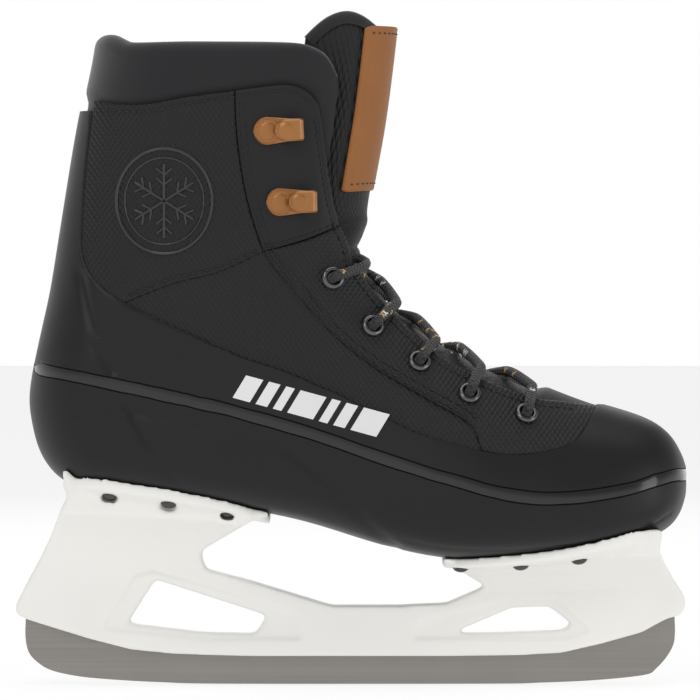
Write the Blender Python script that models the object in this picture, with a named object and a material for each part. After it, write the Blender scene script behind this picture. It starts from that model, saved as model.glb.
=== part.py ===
# Right ice skate: moulded boot, plastic blade holder and steel runner.
# Metres in the file, millimetres in the tables below. +X towards the toe,
# +Z up, the flat stretch of the runner stands on z = 0, camera side is -Y.
import math

import bmesh
import bpy
import numpy as np
from mathutils import Matrix, Vector
from mathutils.bvhtree import BVHTree

for old in list(bpy.data.objects):
    bpy.data.objects.remove(old, do_unlink=True)

mm = 0.001

# Boot stations from the toe tip round the sole, up the heel and the shaft:
# sole or back point (x, z), top or front point (x, z), half width,
# depth and fullness of the sole or heel rounding, depth of the top rounding.
bootStations = [
    (149.0, 83.0, 149.2, 97.0, 9.0, 7.0, 2.0, 7.0),
    (146.5, 76.0, 147.0, 103.0, 20.5, 11.0, 2.4, 16.0),
    (141.0, 69.5, 141.5, 111.5, 30.5, 13.5, 2.8, 28.0),
    (130.0, 64.5, 130.0, 119.0, 39.5, 15.0, 3.2, 38.0),
    (107.0, 60.0, 104.5, 127.0, 47.5, 15.0, 4.0, 50.0),
    (75.5, 57.0, 76.0, 138.5, 51.0, 16.0, 4.0, 60.0),
    (44.5, 56.5, 50.0, 151.0, 50.0, 17.0, 4.0, 66.0),
    (13.5, 62.5, 29.0, 165.0, 46.0, 18.0, 4.0, 66.0),
    (-24.5, 74.0, 15.0, 179.5, 42.0, 20.0, 3.6, 58.0),
    (-69.0, 81.5, 10.5, 189.5, 39.5, 24.0, 3.4, 44.0),
    (-111.0, 86.5, 9.0, 194.0, 38.0, 28.0, 3.0, 34.0),
    (-127.5, 90.5, 8.5, 195.5, 37.5, 30.0, 2.6, 32.0),
    (-137.5, 101.5, 8.0, 197.0, 37.0, 34.0, 2.2, 32.0),
    (-142.0, 116.5, 8.0, 198.5, 37.0, 36.0, 2.1, 32.0),
    (-143.0, 131.5, 8.0, 200.0, 37.0, 38.0, 2.0, 32.0),
    (-138.0, 156.5, 8.2, 203.0, 37.0, 40.0, 2.0, 32.0),
    (-134.0, 174.5, 8.6, 206.5, 37.0, 40.0, 2.0, 33.0),
    (-130.0, 199.0, 9.0, 214.5, 37.5, 40.0, 2.0, 36.0),
    (-122.0, 248.0, 15.0, 248.0, 39.0, 42.0, 2.0, 42.0),
    (-115.5, 278.0, 19.0, 278.0, 41.0, 42.0, 2.0, 45.0),
    (-112.0, 305.5, 22.0, 305.5, 42.0, 42.0, 2.0, 46.0),
]
sectionCount = 29
halfRing = 13
toeShift = 6.0

# Wall layers of the boot, as depths below its outer surface.
shellWall = (0.0, -1.6)
overlayWall = (-0.5, -1.6)
upperWall = (-1.9, -3.1)
liningWall = (-3.5, -4.5)
boardWall = (-3.4, -5.2)
footbedWall = (-5.6, -8.4)
collarDepth = -11.5

# Side-view lines of the boot.
shellEdge = [(-114.5, 259.5), (-118.0, 228.5), (-119.5, 202.5), (-119.0, 190.0), (-112.0, 178.5),
             (-98.0, 169.0), (-74.0, 157.5), (-50.5, 147.0), (-17.0, 134.5), (15.0, 119.5),
             (33.0, 111.5), (57.5, 105.5), (72.0, 103.5), (94.0, 107.0), (103.0, 113.0), (109.5, 125.0)]
cuffTop = [(-112.5, 258.5), (-98.5, 256.5), (-86.5, 257.0), (-71.5, 260.0), (-51.0, 263.0),
           (-31.0, 265.5), (-22.5, 264.5), (-17.0, 261.0), (-14.0, 256.0)]
frontEdge = [(-12.5, 248.5), (-11.5, 240.5), (-8.0, 218.0), (-5.0, 206.5), (-0.5, 195.5), (1.5, 188.0),
             (6.0, 181.0), (18.5, 166.0), (35.0, 150.5), (45.0, 143.5), (66.0, 133.5), (82.0, 128.5),
             (95.0, 127.0), (108.5, 125.0)]
ankleSeam = [(-51.0, 263.0), (-50.5, 248.5), (-49.0, 234.0), (-46.5, 219.0), (-42.5, 204.0), (-38.5, 192.5)]
eyestaySeam = [(-38.5, 192.5), (-31.5, 182.5), (-11.5, 160.0), (8.5, 143.5), (30.0, 130.5), (50.5, 118.5),
               (56.0, 106.5)]
ankleFoot = [(-38.5, 192.5), (-57.5, 184.0), (-78.0, 179.0), (-98.5, 171.0)]
hookFoot = [(-38.5, 192.5), (-18.5, 198.0), (-4.0, 204.0)]
bandLine = [(-130.5, 139.5), (-98.0, 132.5), (-57.5, 123.5), (-16.5, 112.0), (22.0, 99.0), (59.5, 88.0),
            (79.0, 84.5), (98.0, 84.5), (119.5, 87.5), (139.0, 94.0), (152.0, 100.5)]
bandHeight = 5.6
bandDepth = 0.7
collarTop = [(-125.0, 270.0), (-118.0, 281.0), (-113.5, 288.5), (-108.0, 289.5), (-99.0, 285.5), (-60.0, 284.8),
             (-22.0, 284.5), (-10.0, 281.0), (-5.0, 277.0), (-3.0, 270.0), (-4.5, 250.0), (-9.0, 226.0),
             (-14.0, 214.0)]
tongueRim = [(24.0, 281.0), (19.0, 286.0), (13.5, 291.5), (7.0, 296.5), (1.0, 299.0), (-4.5, 299.0),
             (-11.0, 296.0), (-18.0, 290.0), (-26.0, 281.0)]

# Tongue: half width and rounding of its front, depth below the boot's front.
tongueStart = 4.4
tongueFlex = 16.15
tongueFold = 0.4
tongueWidth = 22.5
tongueThick = 6.0
lacePocket = 10.1
labelLine = (17.6, 19.55)
labelHalf = 27.0

# Openings along the front of the boot.
eyeletSpots = [(-8.0, 181.0), (9.5, 160.0), (30.0, 144.5), (52.0, 130.5), (77.0, 121.5)]
eyeletOuter = 5.1
eyeletBore = 2.9
eyeletBarrel = 3.5
hookSpots = [(-25.8, 246.0, 0.05), (-20.3, 214.5, 0.02)]
laceRadius = 2.3
soleGap = 0.5

# Blade holder, runner and their fixings.
holderOutline = [(-127.5, 96.0), (-125.5, 84.0), (-128.0, 79.0), (-133.5, 65.5), (-139.0, 54.5),
                 (-143.5, 46.5), (-149.5, 34.5), (-148.5, 31.0), (-144.5, 29.0), (-133.5, 25.5),
                 (-115.5, 20.0), (-98.0, 15.5), (-78.0, 13.5), (-44.5, 12.5), (44.5, 12.5), (75.5, 13.0),
                 (93.5, 14.0), (111.0, 18.0), (129.0, 23.0), (140.0, 29.0), (147.0, 31.0), (149.0, 36.0),
                 (147.5, 40.5), (143.5, 46.5), (139.5, 53.0), (136.0, 60.0), (137.0, 70.0), (60.0, 72.0),
                 (41.0, 68.0), (40.5, 56.0), (60.0, 43.5), (42.5, 36.0), (22.0, 35.0), (-9.0, 35.0),
                 (-20.5, 38.5), (-45.0, 46.0), (-64.5, 51.0), (-66.5, 56.5), (-66.0, 60.0), (-54.5, 67.0),
                 (-42.5, 74.5), (-36.0, 76.0), (-37.0, 88.0), (-80.0, 98.0)]
rearWindow = [(-99.5, 27.0), (-87.0, 46.5), (-37.5, 30.5), (-42.5, 22.5), (-66.5, 23.0)]
frontWindow = [(44.5, 22.5), (71.5, 34.0), (88.0, 34.5), (98.0, 27.0), (94.5, 24.0), (71.5, 23.0)]
holderHips = [(-160.0, (6.5, 6.5, 10.0, 18.0, 27.0), (8.0, 42.0, 58.0, 70.0, 79.0)),
              (-60.0, (6.5, 6.5, 9.0, 15.0, 25.0), (8.0, 42.0, 56.0, 66.0, 74.0)),
              (30.0, (6.5, 6.5, 9.0, 18.0, 30.0), (8.0, 38.0, 46.0, 51.0, 56.0)),
              (160.0, (6.5, 6.5, 11.0, 20.0, 30.0), (8.0, 38.0, 48.0, 54.0, 59.0))]
rearFlange = [(-127.5, 17.0), (-121.0, 26.0), (-108.0, 31.0), (-70.0, 30.5), (-45.0, 27.0), (-36.0, 18.0)]
frontFlange = [(40.5, 18.0), (47.0, 31.0), (62.0, 36.5), (90.0, 38.5), (112.0, 37.0), (128.0, 31.0), (137.5, 19.0)]
flangeThick = 4.0
runnerHalf = 1.8
runnerBottom = [(-144.8, 30.0), (-145.0, 21.0), (-143.5, 14.0), (-139.5, 9.5), (-133.5, 6.0), (-122.0, 3.4),
                (-107.0, 1.9), (-85.0, 0.7), (-55.0, 0.0), (60.0, 0.0), (85.0, 0.5), (110.0, 1.7), (131.0, 4.0),
                (136.0, 7.0), (140.5, 12.0), (143.5, 17.5), (144.2, 23.0), (144.0, 30.0)]
runnerTop = [(137.0, 33.5), (124.0, 33.5), (120.0, 38.0), (109.0, 38.0), (103.5, 19.0), (-102.0, 19.0),
             (-106.5, 40.0), (-117.5, 40.0), (-123.0, 35.0), (-138.0, 35.0)]
boltSpots = [("rear", -112.0, 40.0), ("front", 114.5, 38.0)]
rivetSpots = [("heel_1", -106.0, 23.0), ("heel_2", -80.0, 24.0), ("heel_3", -54.0, 21.5),
              ("toe_1", 48.5, 25.0), ("toe_2", 74.5, 30.0), ("toe_3", 100.0, 31.0), ("toe_4", 126.0, 22.5)]

colours = {
    "shell_black": ((0.021, 0.021, 0.022), 0.45, 0.0),
    "gloss_black": ((0.012, 0.012, 0.013), 0.16, 0.0),
    "upper_black": ((0.027, 0.026, 0.029), 0.6, 0.0),
    "trim_black": ((0.03, 0.029, 0.032), 0.5, 0.0),
    "collar_black": ((0.03, 0.03, 0.035), 0.7, 0.0),
    "lining_grey": ((0.09, 0.09, 0.095), 0.9, 0.0),
    "board_grey": ((0.32, 0.3, 0.27), 0.8, 0.0),
    "footbed_grey": ((0.06, 0.06, 0.065), 0.9, 0.0),
    "tan_metal": ((0.42, 0.2, 0.07), 0.4, 0.3),
    "tan_leather": ((0.36, 0.15, 0.055), 0.6, 0.0),
    "eyelet_black": ((0.015, 0.015, 0.016), 0.25, 0.5),
    "lace_black": ((0.02, 0.02, 0.021), 0.85, 0.0),
    "aglet_black": ((0.02, 0.02, 0.02), 0.3, 0.0),
    "holder_white": ((0.82, 0.81, 0.78), 0.35, 0.0),
    "runner_steel": ((0.5, 0.48, 0.46), 0.35, 1.0),
    "rivet_steel": ((0.25, 0.24, 0.23), 0.4, 1.0),
}

partSet = bpy.data.collections.new("ice_skate")
bpy.context.scene.collection.children.link(partSet)


def makeMaterial(name):
    base, rough, metal = colours[name]
    material = bpy.data.materials.new(name)
    material.use_nodes = True
    shader = material.node_tree.nodes["Principled BSDF"]
    shader.inputs["Base Color"].default_value = (*base, 1.0)
    shader.inputs["Roughness"].default_value = rough
    shader.inputs["Metallic"].default_value = metal
    return material


materials = {name: makeMaterial(name) for name in colours}


def addObject(name, bm, material=None):
    bmesh.ops.recalc_face_normals(bm, faces=bm.faces)
    mesh = bpy.data.meshes.new(name)
    bm.to_mesh(mesh)
    bm.free()
    obj = bpy.data.objects.new(name, mesh)
    partSet.objects.link(obj)
    if material:
        mesh.materials.append(materials[material])
    return obj


def bake(obj):
    graph = bpy.context.evaluated_depsgraph_get()
    mesh = bpy.data.meshes.new_from_object(obj.evaluated_get(graph))
    obj.modifiers.clear()
    obj.data = mesh


def combine(obj, tool, operation):
    step = obj.modifiers.new(operation, "BOOLEAN")
    step.operation = operation
    step.solver = "EXACT"
    step.object = tool
    bake(obj)
    bpy.data.objects.remove(tool, do_unlink=True)
    return obj


def clean(obj, flat=2.0):
    bm = bmesh.new()
    bm.from_mesh(obj.data)
    bmesh.ops.remove_doubles(bm, verts=bm.verts, dist=0.00004)
    bmesh.ops.dissolve_degenerate(bm, edges=bm.edges, dist=0.00002)
    bmesh.ops.dissolve_limit(bm, angle_limit=math.radians(flat), verts=bm.verts, edges=bm.edges)
    bmesh.ops.triangulate(bm, faces=bm.faces)
    bm.to_mesh(obj.data)
    bm.free()
    return obj


def finish(obj, material):
    clean(obj)
    obj.data.materials.clear()
    obj.data.materials.append(materials[material])
    print("piece", obj.name, len(obj.data.polygons))
    return obj


def curveRow(rows, u):
    # Catmull-Rom between the rows of a table.
    table = np.array(rows, dtype=float)
    i = int(min(max(math.floor(u), 0), len(table) - 2))
    f = u - i
    a = table[max(i - 1, 0)]
    b = table[i]
    c = table[i + 1]
    d = table[min(i + 2, len(table) - 1)]
    return 0.5 * (2 * b + (c - a) * f + (2 * a - 5 * b + 4 * c - d) * f ** 2 + (3 * b - a - 3 * c + d) * f ** 3)


def smoothLine(points, steps):
    return [tuple(curveRow(points, u)) for u in np.linspace(0, len(points) - 1, steps)]


def shiftAt(x):
    f = min(max((x - 20.0) / 130.0, 0.0), 1.0)
    return toeShift * f * f * (3 - 2 * f)


def halfSection(row):
    sole = np.array(row[0:2])
    top = np.array(row[2:4])
    length = np.linalg.norm(top - sole)
    s = (1 - np.cos(np.linspace(0, math.pi, 301))) / 2
    low = np.clip(s * length / row[5], 0, 1)
    high = np.clip((1 - s) * length / row[7], 0, 1)
    y = row[4] * (1 - (1 - low) ** 2) ** (1 / row[6]) * np.sqrt(1 - (1 - high) ** 2)
    return sole, (top - sole) / length, s * length, y


def resample(a, b, count):
    run = np.concatenate([[0], np.cumsum(np.hypot(np.diff(a), np.diff(b)))])
    spots = np.linspace(0, run[-1], count)
    return np.interp(spots, run, a), np.interp(spots, run, b)


def bootRing(u):
    sole, way, along, y = halfSection(curveRow(bootStations, u))
    along, y = resample(along, y, halfRing + 1)
    near = [(sole[0] + way[0] * a, -w, sole[1] + way[1] * a) for a, w in zip(along, y)]
    far = [(p[0], -p[1], p[2]) for p in reversed(near[1:-1])]
    return [Vector((p[0], p[1] + shiftAt(p[0]), p[2])) * mm for p in near + far]


def bootBody(depth, name="boot_cutter"):
    bm = bmesh.new()
    rings = []
    for u in np.linspace(0, len(bootStations) - 1, sectionCount):
        rings.append([bm.verts.new(p) for p in bootRing(u)])
    count = len(rings[0])
    for one, two in zip(rings, rings[1:]):
        for i in range(count):
            j = (i + 1) % count
            bm.faces.new((one[i], one[j], two[j]))
            bm.faces.new((one[i], two[j], two[i]))
    bm.faces.new(list(reversed(rings[0])))
    bm.faces.new(rings[-1])
    bmesh.ops.recalc_face_normals(bm, faces=bm.faces)
    bm.normal_update()
    moves = [v.normal * (depth * mm * v.calc_shell_factor()) for v in bm.verts]
    for v, move in zip(bm.verts, moves):
        v.co += move
    return addObject(name, bm)


def prism(outline, low, high, axis="y"):
    # Closed outline in the side view (axis y) or the plan (axis z).
    bm = bmesh.new()
    if axis == "y":
        verts = [bm.verts.new((x * mm, low * mm, z * mm)) for x, z in outline]
        move = Vector((0, (high - low) * mm, 0))
    else:
        verts = [bm.verts.new((x * mm, y * mm, low * mm)) for x, y in outline]
        move = Vector((0, 0, (high - low) * mm))
    face = bm.faces.new(verts)
    grown = bmesh.ops.extrude_face_region(bm, geom=[face])
    bmesh.ops.translate(bm, verts=[v for v in grown["geom"] if isinstance(v, bmesh.types.BMVert)], vec=move)
    return addObject("prism_cutter", bm)


def layer(name, wall, outline, material, side=0):
    # One sheet of the boot between two depths, trimmed in the side view.
    span = {0: (-90, 90), -1: (-90, -0.3), 1: (0.3, 90)}[side]
    obj = bootBody(wall[0], name)
    combine(obj, bootBody(wall[1]), "DIFFERENCE")
    combine(obj, prism(outline, *span), "INTERSECT")
    return finish(obj, material)


def grown(outline, reach):
    # Closed outline moved outwards by an even distance.
    spots = [Vector(p) for p in outline]
    area = sum(a.x * b.y - b.x * a.y for a, b in zip(spots, spots[1:] + spots[:1]))
    turn = 1 if area > 0 else -1
    result = []
    for i, spot in enumerate(spots):
        before = (spot - spots[i - 1]).normalized()
        after = (spots[(i + 1) % len(spots)] - spot).normalized()
        one = Vector((before.y, -before.x)) * turn
        two = Vector((after.y, -after.x)) * turn
        middle = (one + two).normalized()
        result.append(tuple(spot + middle * (reach / max(middle.dot(one), 0.4))))
    return result


def lifted(line, dx, dz):
    return [(x + dx, z + dz) for x, z in line]


# Boot shell with the groove for the gloss band.
edge = smoothLine(shellEdge, 27)
shell = bootBody(shellWall[0], "boot_shell")
combine(shell, bootBody(shellWall[1]), "DIFFERENCE")
combine(shell, prism(edge + [(125, 140), (170, 140), (170, 40), (-170, 40), (-170, 259.5)], -90, 90), "INTERSECT")

bandMid = smoothLine(bandLine, 19)


def bandOutline(grow):
    half = bandHeight / 2 + grow
    upper = [(x, z + half) for x, z in bandMid]
    lower = [(x, z - half) for x, z in reversed(bandMid)]
    start = bandMid[0]
    upper[0] = (start[0] - 1.5 - grow, start[1] + half * 0.6)
    lower[-1] = (start[0] - 1.5 - grow, start[1] - half * 0.6)
    return upper + lower


groove = bootBody(1.0)
combine(groove, bootBody(-bandDepth), "DIFFERENCE")
combine(groove, prism(bandOutline(0.0), -90, 90), "INTERSECT")
combine(shell, groove, "DIFFERENCE")
layer("gloss_band", (0.1, -bandDepth + 0.3), bandOutline(-0.3), "gloss_black")

# Upper: base sheets and overlays.
hem = [(x, z - 8.0) for x, z in edge if x > -112]
backHem = [(-118.0 - 9.0, 200.0), (-116.0, 165.0)]
cuff = smoothLine(cuffTop, 13)
front = smoothLine(frontEdge, 24)
base = [(-124.0, 257.5)] + cuff + front + list(reversed(hem)) + [(-118.0, 172.0), (-150.0, 172.0), (-150.0, 257.5)]
for side, word in ((-1, "right"), (1, "left")):
    layer("quarter_" + word, upperWall, base, "upper_black", side)
gap = 0.45
edgeUp = [(x + gap, z + gap) for x, z in edge]
ankle = [(-111.5, 258.4)] + [p for p in cuff if -110 < p[0] < -52]
ankle += [(x - gap, z) for x, z in ankleSeam[:-1]] + [(x - gap, z + gap) for x, z in ankleFoot[:-1]]
ankle += list(reversed([p for p in edgeUp if p[0] < -99 and p[1] < 256]))
hookSheet = list(reversed(ankleSeam[1:])) + [p for p in cuff if p[0] > -50] + [p for p in front if p[1] > 206]
hookSheet += [(x, z + gap) for x, z in reversed(hookFoot[1:])]
eyestay = [(x + gap, z) for x, z in smoothLine(eyestaySeam, 12)]
eyestay = list(reversed(eyestay)) + hookFoot[1:] + [p for p in front if p[1] < 203]
eyestay += [(x - 0.2, z + 0.6) for x, z in reversed([p for p in edge if p[0] > 57 and p[0] < 109])]
for side, word in ((-1, "right"), (1, "left")):
    layer("ankle_panel_" + word, overlayWall, ankle, "upper_black", side)
    layer("hook_facing_" + word, overlayWall, hookSheet, "trim_black", side)
    layer("eyestay_" + word, overlayWall, eyestay, "trim_black", side)

# Inside the boot: board, footbed, lining and the padded collar.
soleLine = [(row[0], row[1]) for row in bootStations[1:13]]


def soleTray(rise, reach):
    line = [(x, z + rise) for x, z in soleLine[:-3] if x < reach]
    return [(reach, 40.0), (reach, line[0][1])] + line + [(-150.0, 86.5 + rise), (-150.0, 40.0)]


layer("insole_board", boardWall, soleTray(8.0, 141.0), "board_grey")
layer("footbed", footbedWall, soleTray(15.0, 137.0), "footbed_grey")
lining = [(-150.0, 98.0), (-110.0, 97.0), (-69.0, 92.0), (-25.0, 85.0), (14.0, 74.0), (44.0, 68.0),
          (44.0, 122.0), (22.0, 136.0), (-4.0, 158.0), (-16.0, 176.0), (-20.0, 200.0), (-22.0, 212.0),
          (-150.0, 212.0)]
layer("lining", liningWall, lining, "lining_grey")
collar = bootBody(-3.4, "collar_pad")
bulge = bootBody(-0.9)
combine(bulge, prism(lifted([(-128.0, 262.0)] + cuff[:-2], 0, 1.2) + [(-8.0, 262.0), (-8.0, 300), (-140, 300)],
                     -90, 90), "INTERSECT")
combine(collar, bulge, "UNION")
combine(collar, bootBody(collarDepth), "DIFFERENCE")
combine(collar, prism([(-150.0, 213.0)] + [(-150.0, 270.0)] + smoothLine(collarTop, 22) + [(-18.0, 213.0)],
                      -90, 90), "INTERSECT")
combine(collar, prism([(-30.0, 200.0), (30.0, 200.0), (30.0, 300.0), (-30.0, 300.0)], -24.2, 24.2), "DIFFERENCE")
finish(collar, "collar_black")


def topNormal(u):
    ahead = curveRow(bootStations, u + 0.05)[2:4] - curveRow(bootStations, u - 0.05)[2:4]
    out = np.array([ahead[1], -ahead[0]])
    return out / np.linalg.norm(out)


def slopeAt(u):
    row = curveRow(bootStations, u)
    way = np.array(row[2:4]) - np.array(row[0:2])
    return float(np.dot(way / np.linalg.norm(way), topNormal(u)))


# Tongue: an open U in plan at the shaft that flattens over the instep.
def tongueShape(u):
    row = curveRow(bootStations, u)
    f = min(max((u - 12.0) / 4.2, 0.0), 1.0)
    f = f * f * (3 - 2 * f)
    deep = (lacePocket * (1 - f) + 1.6 * f) / slopeAt(u)
    wide = (row[4] - lacePocket) * (1 - f) + tongueWidth * f
    roundness = (row[7] - lacePocket) * (1 - f) + 20.0 * f
    half = 30.0 * (1 - f) + 52.0 * f
    return row, deep, wide, roundness, half


def tongueRing(u, lift, thick, half, count):
    row, deep, wide, roundness, full = tongueShape(u)
    half = full if half is None else half
    top = np.array(row[2:4])
    way = np.array(row[0:2]) - top
    way = way / np.linalg.norm(way)
    back = np.concatenate([roundness * (1 - np.cos(np.linspace(0, math.pi / 2, 120))), [roundness + 60]])
    y = np.concatenate([wide * np.sin(np.linspace(0, math.pi / 2, 120)), [wide]])
    run = np.concatenate([[0], np.cumsum(np.hypot(np.diff(back), np.diff(y)))])
    spots = np.linspace(0, half, count)
    a = np.interp(spots, run, back)
    b = np.interp(spots, run, y)
    da = np.gradient(a)
    db = np.gradient(b)
    size = np.hypot(da, db)
    na = -db / size
    nb = da / size
    na[0], nb[0] = -1.0, 0.0
    pieces = []
    for depth in (lift, lift - thick):
        pieces.append([(a[i] + na[i] * depth, b[i] + nb[i] * depth) for i in range(count)])
    outer = [(p, -q) for p, q in reversed(pieces[0][1:])] + pieces[0]
    inner = list(reversed(pieces[1])) + [(p, -q) for p, q in pieces[1][1:]]
    ring = []
    for p, q in outer + inner:
        x = top[0] + way[0] * (deep + p)
        ring.append(Vector((x, q + shiftAt(x), top[1] + way[1] * (deep + p))) * mm)
    return ring


def tongueBody(name, low, high, steps, lift=0.0, thick=tongueThick, half=None, count=8):
    bm = bmesh.new()
    rings = [[bm.verts.new(p) for p in tongueRing(u, lift, thick, half, count)] for u in np.linspace(low, high, steps)]
    total = len(rings[0])
    for one, two in zip(rings, rings[1:]):
        for i in range(total):
            bm.faces.new((one[i], one[(i + 1) % total], two[(i + 1) % total], two[i]))
    bm.faces.new(rings[0])
    bm.faces.new(list(reversed(rings[-1])))
    return addObject(name, bm)


finish(tongueBody("tongue_lower", tongueStart, tongueFlex - 0.12, 13), "upper_black")
tongue = tongueBody("tongue_upper", tongueFlex, 20.0, 8)
rimCut = [(40.0, 281.0)] + tongueRim + [(-60.0, 281.0), (-60.0, 150.0), (40.0, 150.0)]
combine(tongue, prism(rimCut, -60, 60), "INTERSECT")
finish(tongue, "upper_black")
label = tongueBody("tongue_label", labelLine[0], labelLine[1], 7, 1.5, 1.2, labelHalf, 7)
combine(label, prism(lifted(rimCut, 0, -2.5), -60, 60), "INTERSECT")
finish(label, "tan_leather")

# Surface finder for everything that is fixed to the outside of the boot.
probe = bootBody(0.0)
probeTree = BVHTree.FromObject(probe, bpy.context.evaluated_depsgraph_get())
bpy.data.objects.remove(probe, do_unlink=True)


def onBoot(x, z, side):
    hit = probeTree.ray_cast(Vector((x, side * 120.0, z)) * mm, Vector((0, -side, 0)))
    return hit[0], hit[1]


def patchAt(x, z, side, reach):
    # Centre and mean normal of a small patch of the side.
    right, left = onBoot(x + reach, z, side)[0], onBoot(x - reach, z, side)[0]
    high, low = onBoot(x, z + reach, side)[0], onBoot(x, z - reach, side)[0]
    normal = (right - left).cross(high - low).normalized()
    if normal.y * side < 0:
        normal.negate()
    centre = onBoot(x, z, side)[0]
    return centre.lerp((right + left + high + low) / 4, 0.5), normal


def onSole(x, y):
    hit = probeTree.ray_cast(Vector((x, y, 20.0)) * mm, Vector((0, 0, 1)))
    return hit[0], hit[1]


def lathe(name, profile, segments, place):
    # Profile of (radius, height) pairs about local Z.
    bm = bmesh.new()
    rings = []
    for radius, height in profile:
        if radius == 0:
            rings.append([bm.verts.new((0, 0, height * mm))])
            continue
        turn = [2 * math.pi * i / segments for i in range(segments)]
        rings.append([bm.verts.new((radius * mm * math.cos(t), radius * mm * math.sin(t), height * mm)) for t in turn])
    closed = profile[0][0] > 0
    pairs = list(zip(rings, rings[1:])) + ([(rings[-1], rings[0])] if closed else [])
    for one, two in pairs:
        for i in range(segments):
            j = (i + 1) % segments
            if len(one) == 1:
                bm.faces.new((one[0], two[i], two[j]))
            elif len(two) == 1:
                bm.faces.new((one[i], one[j], two[0]))
            else:
                bm.faces.new((one[i], one[j], two[j], two[i]))
    bmesh.ops.transform(bm, matrix=place, verts=bm.verts)
    return addObject(name, bm)


def placeAt(point, normal, turn=0.0):
    frame = normal.to_track_quat("Z", "Y").to_matrix().to_4x4()
    return Matrix.Translation(point) @ frame @ Matrix.Rotation(turn, 4, "Z")


# Eyelets, and the holes they stand in.
eyeletPlaces = {}
for side, word in ((-1, "right"), (1, "left")):
    for number, (x, z) in enumerate(eyeletSpots, 1):
        point, normal = patchAt(x, z, side, 4.5)
        eyeletPlaces[(number, side)] = (point, normal)
        place = placeAt(point, normal)
        for sheet in ("eyestay_" + word, "quarter_" + word):
            hole = lathe("hole_cutter", [(0, 6), (eyeletBarrel + 0.5, 6), (eyeletBarrel + 0.5, -8), (0, -8)], 12, place)
            combine(bpy.data.objects[sheet], hole, "DIFFERENCE")
        profile = [(eyeletBore, 1.3), (eyeletOuter - 0.5, 1.3), (eyeletOuter, 0.45), (eyeletBarrel, 0.45),
                   (eyeletBarrel, -3.4), (eyeletBore, -3.4)]
        finish(lathe("eyelet_%s_%d" % (word, number), profile, 12, place), "eyelet_black")
    clean(bpy.data.objects["eyestay_" + word])
    clean(bpy.data.objects["quarter_" + word])


# Lace hooks: a riveted plate whose neck folds back over it.
def hookBody(name, place):
    fold = [(-17.0, 0.0), (0.0, 0.0), (3.4, 1.4), (4.8, 4.0), (3.4, 6.6), (0.0, 7.4), (-5.0, 7.1),
            (-5.0, 5.9), (0.0, 6.1), (2.4, 5.4), (3.4, 4.0), (2.4, 2.4), (0.0, 1.3), (-17.0, 1.3)]
    bm = bmesh.new()
    verts = [bm.verts.new((x * mm, -4.8 * mm, n * mm)) for x, n in fold]
    face = bm.faces.new(verts)
    grown = bmesh.ops.extrude_face_region(bm, geom=[face])
    moved = [v for v in grown["geom"] if isinstance(v, bmesh.types.BMVert)]
    bmesh.ops.translate(bm, verts=moved, vec=(0, 9.6 * mm, 0))
    for v in bm.verts:
        if v.co.x < -16.0 * mm:
            v.co.y *= 0.45
    bmesh.ops.transform(bm, matrix=place, verts=bm.verts)
    obj = addObject(name, bm)
    dome = lathe("dome_cutter", [(0, 2.6), (2.6, 2.3), (3.9, 1.0), (3.9, 0.6), (0, 0.6)], 12,
                 place @ Matrix.Translation((-11.5 * mm, 0, 0)))
    combine(obj, dome, "UNION")
    return finish(obj, "tan_metal")


for side, word in ((-1, "right"), (1, "left")):
    for number, (x, z, lean) in enumerate(hookSpots, 1):
        nose, normal = onBoot(x, z, side)
        tail, tailNormal = onBoot(x - 17.0, z - 17.0 * math.sin(lean), side)
        out = (normal + tailNormal).normalized()
        ahead = (nose - tail).normalized()
        out = (out - ahead * out.dot(ahead)).normalized()
        up = out.cross(ahead)
        frame = Matrix((ahead, up, out)).transposed().to_4x4()
        place = Matrix.Translation(nose + out * 0.75 * mm) @ frame
        hookBody("lace_hook_%s_%d" % (word, number), place)

# Blade holder: side outline, hips that widen towards the sole, two flanges.
holder = prism(holderOutline, -60, 60)
holder.name = "blade_holder"
bm = bmesh.new()
rings = []
for x, widths, heights in holderHips:
    half = list(zip(widths, heights)) + [(widths[-1], 110.0)]
    outline = half + [(-y, z) for y, z in reversed(half)]
    rings.append([bm.verts.new((x * mm, y * mm, z * mm)) for y, z in outline])
for one, two in zip(rings, rings[1:]):
    for i in range(len(one)):
        j = (i + 1) % len(one)
        bm.faces.new((one[i], one[j], two[j], two[i]))
bm.faces.new(rings[0])
bm.faces.new(list(reversed(rings[-1])))
combine(holder, addObject("hips_cutter", bm), "INTERSECT")
for window in (rearWindow, frontWindow):
    combine(holder, prism(window, -60, 60), "DIFFERENCE")
for spots, low, high in ((rearFlange, 55, 104), (frontFlange, 45, 80)):
    smooth = smoothLine(spots, 11)
    plan = [(x, -y) for x, y in smooth] + [(x, y) for x, y in reversed(smooth)]
    flange = prism(plan, low, high, "z")
    combine(flange, bootBody(soleGap + flangeThick), "INTERSECT")
    combine(holder, flange, "UNION")
combine(holder, bootBody(soleGap), "DIFFERENCE")

runnerSide = runnerBottom + runnerTop
combine(holder, prism(grown(runnerSide, 0.35), -runnerHalf - 0.25, runnerHalf + 0.25), "DIFFERENCE")
runner = prism(runnerSide, -runnerHalf, runnerHalf)
runner.name = "runner"
finish(runner, "runner_steel")

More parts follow.
